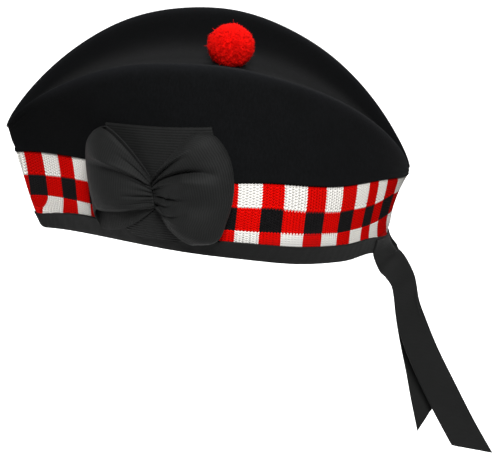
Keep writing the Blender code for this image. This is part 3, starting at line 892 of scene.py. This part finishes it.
# Cockade panel: wide black ribbon laid flat against the wearer's left side, with its ribs nearly level.
# The bow is sewn over it.
COCKADE_WIDTH = 0.097
COCKADE_HEIGHT = 0.066
COCKADE_TILT = math.radians(8.5)
COCKADE_RIB = 0.00145
COCKADE_RIB_DEPTH = 0.00011
# Where the bow is gathered: how far round from the front seam at this place of the form, and how high
GATHER_PLACE = 1.7
GATHER_ARC = 0.105
GATHER_HEIGHT = 0.049
# The cockade is lifted over the binding's upper edge between these places
LIFT_START = AT_BINDING_TOP + 0.75
LIFT_END = AT_BINDING_TOP + 0.35
# The side of the cap as a net, this far back and forth and up and down from the gather
NET_STEP = 0.001
NET_BACK = 0.064
NET_UP = 0.048
SIDE_STEPS = 100
side_places = np.linspace(0, AT_RIDGE, SIDE_STEPS + 1)
side_net = np.array([cap_row(band_form, fine_shares, place) for place in side_places])
gather_line = cap_row(band_form, fine_shares, GATHER_PLACE)
gather_length = run_length(gather_line)
net_back = np.arange(-NET_BACK, NET_BACK + NET_STEP / 2, NET_STEP)
net_up = np.arange(-NET_UP, NET_UP + NET_STEP / 2, NET_STEP)


def side_column(along):
    """Points and places up the side of the cap, at this distance back from the gather."""
    x = np.interp(GATHER_ARC + along, gather_length, gather_line[:, 0])
    index = np.interp(x, gather_line[:, 0], fine_shares) * DENSE
    low = min(int(index), DENSE - 1)
    column = side_net[:, low] * (1 - index + low) + side_net[:, low + 1] * (index - low)
    z = GATHER_HEIGHT + net_up
    x, y, place = (
        np.interp(z, column[:, 2], values) for values in (column[:, 0], column[:, 1], side_places)
    )
    return np.stack([x, -y, z, place], axis=-1)


cockade_net = np.array([side_column(along) for along in net_back])


def from_net(along, up):
    """Points and places of the side at these distances from the gather."""
    i = np.clip((along - net_back[0]) / NET_STEP, 0, len(net_back) - 1.001)
    j = np.clip((up - net_up[0]) / NET_STEP, 0, len(net_up) - 1.001)
    low_i = i.astype(int)
    low_j = j.astype(int)
    a = (i - low_i)[..., None]
    b = (j - low_j)[..., None]
    near = cockade_net[low_i, low_j] * (1 - b) + cockade_net[low_i, low_j + 1] * b
    far = cockade_net[low_i + 1, low_j] * (1 - b) + cockade_net[low_i + 1, low_j + 1] * b
    return near * (1 - a) + far * a


def cockade_points(out, up, height):
    """Points over the side of the cap, in the cockade's own tilted axes and clear of the binding."""
    along = out * math.cos(COCKADE_TILT) - up * math.sin(COCKADE_TILT)
    rise = out * math.sin(COCKADE_TILT) + up * math.cos(COCKADE_TILT)
    base = from_net(along, rise)
    reach = COCKADE_HEIGHT / 20
    back = from_net(along + reach, rise)[..., :3] - from_net(along - reach, rise)[..., :3]
    upward = from_net(along, rise + reach)[..., :3] - from_net(along, rise - reach)[..., :3]
    outward = unit(np.cross(back, upward))
    share = np.clip((LIFT_START - base[..., 3]) / (LIFT_START - LIFT_END), 0, 1)
    lift = (GAP + RIBBON) * share**2 * (3 - 2 * share)
    return base[..., :3] + outward * (GAP + lift + height)[..., None]


# The panel's rows run from its foot to its top: up is a share of half the cockade's height, left and
# right of half its width
Panel = namedtuple("Panel", "up left right")
PANEL_OUTLINE = (
    Panel(-0.88, -0.30, 0.20),
    Panel(-0.80, -0.50, 0.42),
    Panel(-0.66, -0.58, 0.60),
    Panel(0.00, -0.60, 0.82),
    Panel(1.05, -0.52, 0.90),
)


def smooth_rows(table, parts):
    """Rows of a table at these parts from its first row, 0, to its last, 1."""
    rows = [np.array(row) for row in table]
    return np.array([between(rows, part * (len(rows) - 1)) for part in parts])


def sheet_piece(name, points, u, v, finish, slot, thickness, node):
    """A ribbon laid out as a grid of points, with its thickness to both sides."""
    build = grid_of(points)
    lay_flat(build, np.ravel(u), np.ravel(v))
    bmesh.ops.recalc_face_normals(build, faces=build.faces)
    piece = new_piece(name, build, finish, slot, node)
    thicken(piece, thickness)
    return piece


COCKADE_LIGHT = (0.0148, 0.0152, 0.0150)
cockade_ribbon = ribbon_finish("cockade_grosgrain", COCKADE_LIGHT)
COCKADE_RIBBON = RIBBON - 2 * COCKADE_RIB_DEPTH
PANEL_ROWS = 280
PANEL_COLUMNS = 90
panel_outline = smooth_rows(PANEL_OUTLINE, np.linspace(0, 1, PANEL_ROWS + 1))
panel_across = np.linspace(0, 1, PANEL_COLUMNS + 1)
panel_out = COCKADE_WIDTH / 2 * (
    panel_outline[:, 1:2] + (panel_outline[:, 2:3] - panel_outline[:, 1:2]) * panel_across
)
panel_up = np.repeat(COCKADE_HEIGHT / 2 * panel_outline[:, 0:1], PANEL_COLUMNS + 1, axis=1)
panel_ribs = COCKADE_RIB_DEPTH * np.cos(2 * math.pi * panel_up / COCKADE_RIB)
# The ribs are a little higher in some places and lower in others
panel_height = RIBBON / 2 + panel_ribs * (1 + 0.25 * np.sin(panel_out * 900))
panel = sheet_piece(
    "cockade_back", cockade_points(panel_out, panel_up, panel_height), panel_out,
    panel_up * RIB / COCKADE_RIB, cockade_ribbon, "cockade_ribbon", COCKADE_RIBBON, "cockade_panel",
)


# Bow loops: the same black ribbon, gathered at the middle, fanned out and folded under at its outer
# edge, one loop to the front and one to the back, with creases that run out from the gather.
LOOP_DEPTH = 0.006
LOOP_PUFF = 0.006
# A ray runs from the gather to the outer edge: out and back_out are shares of half the cockade's width
# for the front and the back layer, up and back_up of half its height, bend and back_bend bow the ray by
# shares of the same, and swell is its share of the puff
Ray = namedtuple("Ray", "out up back_out back_up bend back_bend swell")
FRONT_RAYS = (
    Ray(0.50, 1.04, 0.50, 1.00, 0.27, 0.14, 0.4),
    Ray(0.64, 0.95, 0.64, 0.92, 0.20, 0.10, 0.8),
    Ray(0.79, 0.76, 0.79, 0.72, 0.12, 0.06, 1.0),
    Ray(0.88, 0.48, 0.89, 0.40, 0.06, 0.03, 0.7),
    Ray(0.93, 0.16, 0.96, 0.02, 0.02, 0.00, 0.9),
    Ray(0.95, -0.08, 0.99, -0.34, 0.00, -0.05, 1.0),
    Ray(0.95, -0.24, 1.01, -0.55, -0.01, -0.09, 0.9),
    Ray(0.94, -0.33, 1.03, -0.70, -0.02, -0.13, 0.7),
    Ray(0.92, -0.40, 1.05, -0.80, -0.02, -0.16, 0.4),
)
BACK_RAYS = (
    Ray(0.66, 0.95, 0.65, 0.93, 0.00, 0.00, 0.3),
    Ray(0.80, 0.98, 0.79, 0.95, 0.03, 0.02, 0.8),
    Ray(0.93, 0.90, 0.92, 0.88, 0.05, 0.04, 1.0),
    Ray(1.00, 0.60, 0.99, 0.58, 0.04, 0.03, 0.8),
    Ray(0.98, 0.20, 0.98, 0.20, 0.00, 0.00, 1.0),
    Ray(0.93, -0.15, 0.93, -0.15, -0.02, -0.02, 0.7),
    Ray(0.86, -0.45, 0.86, -0.45, -0.03, -0.03, 1.0),
    Ray(0.75, -0.74, 0.75, -0.74, -0.04, -0.04, 0.8),
    Ray(0.50, -0.79, 0.50, -0.79, -0.04, -0.04, 0.3),
)
# The gather's ends, as shares of half the cockade's height
GATHER_TOP = 0.18
GATHER_BOTTOM = -0.28
# Along a ray and back: reach is a share of it, lift a share of the loop's depth, puff a share of the
# puff, and layer is 1 in front and 0 behind
Turn = namedtuple("Turn", "reach lift puff layer")
LOOP_TURNS = (
    Turn(0.00, 0.28, 0.00, 1.0),
    Turn(0.10, 0.40, 0.25, 1.0),
    Turn(0.25, 0.60, 0.65, 1.0),
    Turn(0.45, 0.80, 1.00, 1.0),
    Turn(0.65, 0.92, 0.95, 1.0),
    Turn(0.82, 1.00, 0.60, 1.0),
    Turn(0.93, 0.96, 0.20, 1.0),
    Turn(0.985, 0.76, 0.05, 0.8),
    Turn(1.00, 0.45, 0.00, 0.5),
    Turn(0.985, 0.14, 0.00, 0.2),
    Turn(0.93, 0.00, 0.00, 0.0),
    Turn(0.76, 0.04, 0.00, 0.0),
    Turn(0.58, 0.05, 0.00, 0.0),
    Turn(0.40, 0.05, 0.00, 0.0),
    Turn(0.22, 0.04, 0.00, 0.0),
    Turn(0.04, 0.00, 0.00, 0.0),
)
# A crease runs out from the gather: its share across the fan at the gather and where it ends, how far
# out it runs, how wide it is as a share of the fan, and how deep in metres, below 0 for a ridge
Crease = namedtuple("Crease", "share ends reach width depth")
FRONT_CREASES = (
    Crease(0.05, 0.04, 0.90, 0.030, -0.0006),
    Crease(0.20, 0.34, 0.90, 0.028, -0.0018),
    Crease(0.27, 0.41, 0.90, 0.022, 0.0012),
    Crease(0.14, 0.16, 0.45, 0.026, 0.0012),
    Crease(0.62, 0.60, 0.40, 0.030, 0.0022),
    Crease(0.80, 0.78, 0.50, 0.030, 0.0018),
)
BACK_CREASES = (
    Crease(0.04, 0.27, 0.72, 0.020, -0.0044),
    Crease(0.10, 0.33, 0.66, 0.022, 0.0034),
    Crease(0.24, 0.48, 0.88, 0.018, 0.0050),
    Crease(0.31, 0.53, 0.84, 0.030, -0.0026),
    Crease(0.56, 0.62, 0.55, 0.024, 0.0030),
    Crease(0.74, -0.06, 0.34, 0.030, -0.0030),
    Crease(0.84, 0.30, 0.42, 0.026, 0.0030),
    Crease(0.90, 0.75, 0.55, 0.024, -0.0020),
    Crease(1.00, 0.46, 0.55, 0.022, 0.0032),
)
# The bow's ribbon is stretched smoother than the panel's
LOOP_RIB_SHARE = 0.35
# A crease fades in from the gather and out to its end over these shares of a ray
CREASE_START = 0.06
CREASE_FADE = 0.35
# The small pleats at the gather: how many, how deep, and the shares of a ray they start and fade over
PLEATS = 9
PLEAT_DEPTH = 0.0007
PLEAT_START = 0.03
PLEAT_REACH = 0.16
# The least lift off the panel, as a share of the loop's depth
LEAST_LIFT = 0.02
LOOP_COLUMNS = 100
LOOP_ROWS = 330


def bow_loop(name, rays, side, creases, node):
    """One loop, side -1 towards the front seam and 1 to the back."""
    shares = np.linspace(0, 1, LOOP_COLUMNS + 1)
    fan = smooth_rows(rays, shares)
    turns = smooth_rows(LOOP_TURNS, np.linspace(0, 1, LOOP_ROWS + 1))
    reach, lift, puff, layer = (turns[:, k, None] for k in range(4))
    out, up, back_out, back_up, bend, back_bend, swell = (fan[None, :, k] for k in range(7))
    gather = GATHER_TOP + (GATHER_BOTTOM - GATHER_TOP) * shares[None, :]
    top = back_up + (up - back_up) * layer
    width = back_out + (out - back_out) * layer
    bow = (back_bend + (bend - back_bend) * layer) * 4 * reach * (1 - reach)
    run = GAP + (width * COCKADE_WIDTH / 2 - GAP) * reach
    rise = COCKADE_HEIGHT / 2 * (gather + (top - gather) * reach + bow)
    height = LOOP_DEPTH * lift + LOOP_PUFF * puff * swell
    front = np.clip(layer, 0, 1)
    for crease in creases:
        middle = crease.share + (crease.ends - crease.share) * reach
        wide = crease.width * (0.7 + 0.8 * reach)
        fade = np.clip((crease.reach - reach) / CREASE_FADE, 0, 1) * np.clip(reach / CREASE_START, 0, 1)
        groove = np.exp(-(np.abs((shares - middle) / wide) ** 1.25))
        height = height - crease.depth * fade * front * groove
    pleats = PLEAT_DEPTH * np.cos(2 * math.pi * PLEATS * shares + 1.2 * np.sin(5 * shares))
    height = height + pleats * front * np.exp(-reach / PLEAT_REACH) * np.clip(reach / PLEAT_START, 0, 1)
    height = RIBBON + GAP + RIBBON / 2 + np.maximum(height, LEAST_LIFT * LOOP_DEPTH)
    length = run_length(cockade_points(side * run, rise, height))
    # The ribs lie across the rays, at the mean of each ray's own length and the middle one's
    v = (length[:, LOOP_COLUMNS // 2, None] + length) / 2
    ribs = COCKADE_RIB_DEPTH * np.cos(2 * math.pi * v / COCKADE_RIB)
    points = cockade_points(side * run, rise, height + ribs * LOOP_RIB_SHARE)
    u = np.broadcast_to(shares * COCKADE_HEIGHT, v.shape)
    v = v * RIB / COCKADE_RIB
    return sheet_piece(name, points, u, v, cockade_ribbon, "cockade_ribbon", COCKADE_RIBBON, node)


front_loop = bow_loop("bow_loop_front", FRONT_RAYS, -1, FRONT_CREASES, "bow_front")
back_loop = bow_loop("bow_loop_back", BACK_RAYS, 1, BACK_CREASES, "bow_back")


# Toorie: a ball of red wool pile, tied through the middle and clipped round, sewn on in the valley.
# Its strands stand out from the middle and lean together in small locks.
TOORIE_WIDTH = 0.0285
TOORIE_HEIGHT = 0.027
TOORIE_BACK = 0.0085
TOORIE_SINK = 0.003
# How much narrower it is towards the top, and where its surface and its core lie, as shares of its size
TOORIE_TAPER = 0.14
SURFACE = 0.915
CORE = 0.83
STRANDS = 16000
# How many locks there are, the share by which a strand leans to its lock's middle, and the share by
# which it reaches further there
LOCKS = 150
LEAN = 0.22
LOCK_CROWN = 0.02
# A strand starts at this share of its reach. One in so many reaches further and is thinner, and a few
# stray ones stand out.
ROOT = 0.80
STRAND_RADIUS = 0.00019
LONG_EVERY = 13
LONG_REACH = 1.05
LONG_THICKNESS = 0.50
STRAY_EVERY = 997
STRAY_REACH = 1.16
# How light the strands are on average, and the core, and the share of its tone a strand has at its root.
# The darker core and roots are painted shade deep in the pile.
STRAND_TONE = 0.66
CORE_TONE = 0.3
ROOT_TONE = 0.80
WOOL_RED = (0.90, 0.007, 0.004)
WOOL_DEEP = (0.54, 0.002, 0.001)
wool = Finish("red_wool", Roughness=0.85, Specular_IOR_Level=0.03, Sheen_Weight=0.015, Sheen_Roughness=0.5)
wool_tone = wool.mark("tone")
wool_noise = wool.cloud(1800, 3.0, 0.6)
wool_shade = wool.ramp(wool_tone * 0.8 + wool_noise * 0.4, 0.2, 1.0)
wool.feed("Base Color", wool.blend(wool_shade, WOOL_DEEP, WOOL_RED))
wool.bump(wool_noise, 0.0002, 0.6)

valley_rows = [near_side(row) for row in crown_rows[:VALLEY_ROWS]]


def valley_height(x, y):
    """How high the felt lies between the ridges."""
    widths = np.array([np.interp(x, row[:, 0], row[:, 1]) for row in valley_rows])
    heights = np.array([np.interp(x, row[:, 0], row[:, 2]) for row in valley_rows])
    return np.interp(abs(y), widths, heights)


def spread_round(count):
    """Evenly spread directions on a spiral from pole to pole."""
    turn = math.pi * (3 - math.sqrt(5))
    number = np.arange(count)
    z = 1 - (2 * number + 1) / count
    ring = np.sqrt(1 - z * z)
    return np.stack([ring * np.cos(turn * number), ring * np.sin(turn * number), z], axis=-1)


rng = np.random.default_rng(7)
toorie_size = np.array((TOORIE_WIDTH / 2, TOORIE_WIDTH / 2, TOORIE_HEIGHT / 2))
toorie_rise = valley_height(TOORIE_BACK, 0) + TOORIE_HEIGHT / 2 - TOORIE_SINK
toorie_middle = np.array((TOORIE_BACK, 0, toorie_rise))
strand_way = unit(spread_round(STRANDS) + rng.normal(0, 0.02, (STRANDS, 3)))
lock_way = unit(spread_round(LOCKS) + rng.normal(0, 0.05, (LOCKS, 3)))
nearest = np.argmax(strand_way @ lock_way.T, axis=1)
closeness = np.max(strand_way @ lock_way.T, axis=1)
lean = unit(lock_way[nearest] * LEAN + strand_way * (1 - LEAN) + rng.normal(0, 0.05, (STRANDS, 3)))
lock_length = 1 + rng.normal(0, 0.014, LOCKS)
strand_reach = SURFACE + LOCK_CROWN * (closeness - closeness.min()) / (1 - closeness.min())
strand_reach = strand_reach * lock_length[nearest] * (1 + rng.normal(0, 0.018, STRANDS))
strand_reach[::LONG_EVERY] *= LONG_REACH
strand_reach[::STRAY_EVERY] *= STRAY_REACH
tips = lean * toorie_size * strand_reach[:, None]
tips[:, :2] *= 1 - TOORIE_TAPER * np.maximum(lean[:, 2:], 0) ** 2
tips += toorie_middle
roots = toorie_middle + (tips - toorie_middle) * ROOT
for number in np.nonzero(tips[:, 2] < toorie_middle[2])[0]:
    ground_here = float(valley_height(tips[number, 0], tips[number, 1])) + GAP
    if tips[number, 2] < ground_here:
        tips[number, 2] = ground_here
        roots[number, 2] = max(roots[number, 2], ground_here)
strand_build = bmesh.new()
bmesh.ops.create_cone(
    strand_build, cap_ends=True, cap_tris=False, segments=3, radius1=1.0, radius2=0.5, depth=1.0
)
strand_points, strand_faces = small_form(strand_build)
along = tips - roots
across = unit(np.cross(along, rng.normal(0, 1, (STRANDS, 3))))
other = unit(np.cross(along, across))
thick = STRAND_RADIUS * (1 + rng.normal(0, 0.15, STRANDS))[:, None]
thick[::LONG_EVERY] *= LONG_THICKNESS
strand_axes = np.stack([across * thick, other * thick, along], axis=1)
toorie_build = many_of(strand_points, strand_faces, ((tips + roots) / 2, strand_axes))
strand_vertices = len(toorie_build.verts)
core = bmesh.ops.create_icosphere(toorie_build, subdivisions=4, radius=1)["verts"]
for vertex in core:
    taper = 1 - TOORIE_TAPER * max(vertex.co.z, 0) ** 2
    place = toorie_middle + np.array(vertex.co) * toorie_size * CORE * taper
    place[2] = max(place[2], float(valley_height(place[0], place[1])) + GAP)
    vertex.co = Vector(place)
bmesh.ops.recalc_face_normals(toorie_build, faces=toorie_build.faces)
toorie = new_piece("wool_toorie", toorie_build, wool.material, "red_wool", "toorie")
# Strands are painted lighter at a lock's middle and darker between locks: painted shade, over a random tone
strand_tone = STRAND_TONE + rng.normal(0, 0.28, STRANDS) + 4 * (closeness - closeness.mean())
strand_tone = np.repeat(np.clip(strand_tone, 0, 1), len(strand_points))
at_tip = np.tile(strand_points[:, 2] > 0, STRANDS)
tone = np.full(len(toorie.data.vertices), CORE_TONE)
tone[:strand_vertices] = strand_tone * np.where(at_tip, 1.0, ROOT_TONE)
set_mark(toorie, "tone", tone)


# Tails: two black grosgrain ribbons, sewn against the binding on either side of the back seam. They
# hang clear of each other and end in slanted cuts.
RIBBON_WIDTH = 0.019
TAIL_THICK = 0.0006
# How far from the back seam the tails start
TAIL_START = 0.005
TAIL_DROP = 0.116
TAIL_TRAIL = 0.064
TAIL_SPREAD = 0.012
# How much further down the cut ends at the edge by the seam than at the other
NEAR_SLANT = 0.018
FAR_SLANT = -0.018
TAIL_ACROSS = 17
TAIL_FINE = 46
# Down is a share of the drop, back of the trail, aside of the spread, and turn is how far the ribbon's
# face turns from the side towards the back, in degrees
Hang = namedtuple("Hang", "down back aside turn")
NEAR_HANGS = (
    Hang(0.02, 0.045, -0.92, 27),
    Hang(0.06, 0.114, -0.96, 33),
    Hang(0.13, 0.190, -1.00, 43),
    Hang(0.25, 0.243, -1.00, 42),
    Hang(0.36, 0.315, -1.00, 28),
    Hang(0.54, 0.47, -1.00, 20),
    Hang(0.73, 0.665, -1.00, 12),
    Hang(0.90, 0.85, -1.00, 14),
    Hang(1.003, 0.97, -1.00, 15),
)
FAR_HANGS = (
    Hang(0.05, 0.035, 0.60, -34),
    Hang(0.11, 0.125, 0.30, -40),
    Hang(0.19, 0.205, 0.00, -43),
    Hang(0.33, 0.268, -0.25, -40),
    Hang(0.48, 0.375, -0.50, -8),
    Hang(0.62, 0.448, -0.68, 8),
    Hang(0.74, 0.505, -0.75, 12),
    Hang(0.83, 0.55, -0.78, 14),
)
# Rows of a tail against the binding. The flare is the share of the ribbon's width by which its seam
# edge stands away backwards.
Sewn = namedtuple("Sewn", "place flare")
SEWN = (Sewn(AT_BINDING_TOP, 0.0), Sewn(AT_BINDING_TOP / 2, 0.12), Sewn(0, 0.34))
# The ribs fade out this near to the ribbon's edges. The ribbon sways this deep, in a wave with this
# length for each radian, and fully from this far below its start.
TAIL_EDGE = 0.0008
SWAY = 0.0004
SWAY_LENGTH = 0.009
FREE_FROM = 0.03
tail_ribbon = ribbon_finish("tail_grosgrain", BINDING_LIGHT)
tail_shares = np.linspace(0, 1, TAIL_ACROSS)
sewn_form = cap_form(fine_shares, OUTSIDE - GAP - RIBBON / 2)


def walk(curve, distances):
    """Points at these distances along a row of points."""
    lengths = run_length(curve)
    return np.stack([np.interp(distances, lengths, curve[:, axis]) for axis in range(3)], axis=-1)


def tail(name, hangs, side, slant, node):
    """A tail as rows across the ribbon from its seam edge, with its last row cut at a slant."""
    rows = []
    for row in SEWN:
        line = cap_row(sewn_form, fine_shares, row.place)[::-1]
        sewn = walk(line, TAIL_START + tail_shares * RIBBON_WIDTH) * (1, side, 1)
        flare = np.outer(row.flare * RIBBON_WIDTH * (1 - tail_shares), (1, 0, 0))
        rows.append(sewn + flare)
    start = CAP_LENGTH / 2 * RIM.back
    middles = [
        Vector((start + hang.back * TAIL_TRAIL, hang.aside * TAIL_SPREAD, -hang.down * TAIL_DROP))
        for hang in hangs
    ]
    for number, hang in enumerate(hangs):
        above = middles[max(number - 1, 0)]
        below = middles[min(number + 1, len(hangs) - 1)]
        course = (below - above).normalized()
        turn = math.radians(hang.turn)
        across = Vector((math.cos(turn), math.sin(turn), 0))
        across = (across - course * across.dot(course)).normalized()
        cut = course * slant if number == len(hangs) - 1 else Vector()
        slope = across * RIBBON_WIDTH + cut
        rows.append(np.array([middles[number] + slope * (0.5 - share) for share in tail_shares]))
    places = np.linspace(0, len(rows) - 1, (len(rows) - 1) * TAIL_FINE + 1)
    net = np.array([between(rows, place) for place in places])
    outward = unit(np.cross(np.gradient(net, axis=0), np.gradient(net, axis=1)))
    v = run_length(net)
    edge = np.clip(np.minimum(tail_shares, 1 - tail_shares) * RIBBON_WIDTH / TAIL_EDGE, 0, 1)
    ribs = RIB_DEPTH * np.cos(2 * math.pi * v / RIB) * edge
    sway = SWAY * np.sin(v / SWAY_LENGTH + 2 * tail_shares) * np.clip(v / FREE_FROM, 0, 1)
    net = net + outward * (ribs + sway)[..., None]
    u = np.broadcast_to(tail_shares * RIBBON_WIDTH, v.shape)
    return sheet_piece(name, net, u, v, tail_ribbon, "binding_ribbon", TAIL_THICK, node)


near_tail = tail("ribbon_tail_near", NEAR_HANGS, -1, NEAR_SLANT, "tail_near")
far_tail = tail("ribbon_tail_far", FAR_HANGS, 1, FAR_SLANT, "tail_far")


# The stage: a plain pale floor well below the cap, which is held up as a head holds it. The light comes
# from above, in front and behind, and a little of it from all round.
FLOOR_DROP = 0.45
FLOOR_SIZE = 12
floor_build = bmesh.new()
bmesh.ops.create_grid(floor_build, x_segments=1, y_segments=1, size=FLOOR_SIZE)
bmesh.ops.translate(floor_build, verts=floor_build.verts, vec=(0, 0, -FLOOR_DROP))
floor_mesh = bpy.data.meshes.new("floor")
floor_build.to_mesh(floor_mesh)
floor_build.free()
floor = add_to_scene("floor", floor_mesh)
paper = Finish("pale_floor", Base_Color=(0.92, 0.92, 0.92, 1), Roughness=0.9, Emission_Strength=0.1)
paper.shader.inputs["Emission Color"].default_value = (1, 1, 1, 1)
floor_mesh.materials.append(paper.material)
# Its bounce would fill the folds' shadows from below, which the photo's plain ground doesn't
floor.visible_diffuse = False


def aim_light(lamp, place, way):
    """Hang a lamp in its place, shining this way."""
    item = add_to_scene(lamp.name, lamp)
    item.location = place
    item.rotation_mode = "QUATERNION"
    item.rotation_quaternion = Vector(way).to_track_quat("-Z", "Y")


top = bpy.data.lights.new("top", "AREA")
top.shape = "RECTANGLE"
top.size = 1.4
top.size_y = 0.9
top.energy = 22
aim_light(top, (0, 1.5, 1.0), (0, -1.5, -0.95))
front = bpy.data.lights.new("front", "SUN")
front.energy = 5.5
front.angle = math.radians(24)
aim_light(front, (0, 0, 0), (-0.05, 1.0, -1.1))
world = bpy.data.worlds.new("room")
world.use_nodes = True
world.node_tree.nodes["Background"].inputs["Color"].default_value = (1, 1, 1, 1)
world.node_tree.nodes["Background"].inputs["Strength"].default_value = 0.21
bpy.context.scene.world = world
bpy.context.scene.view_settings.view_transform = "Standard"
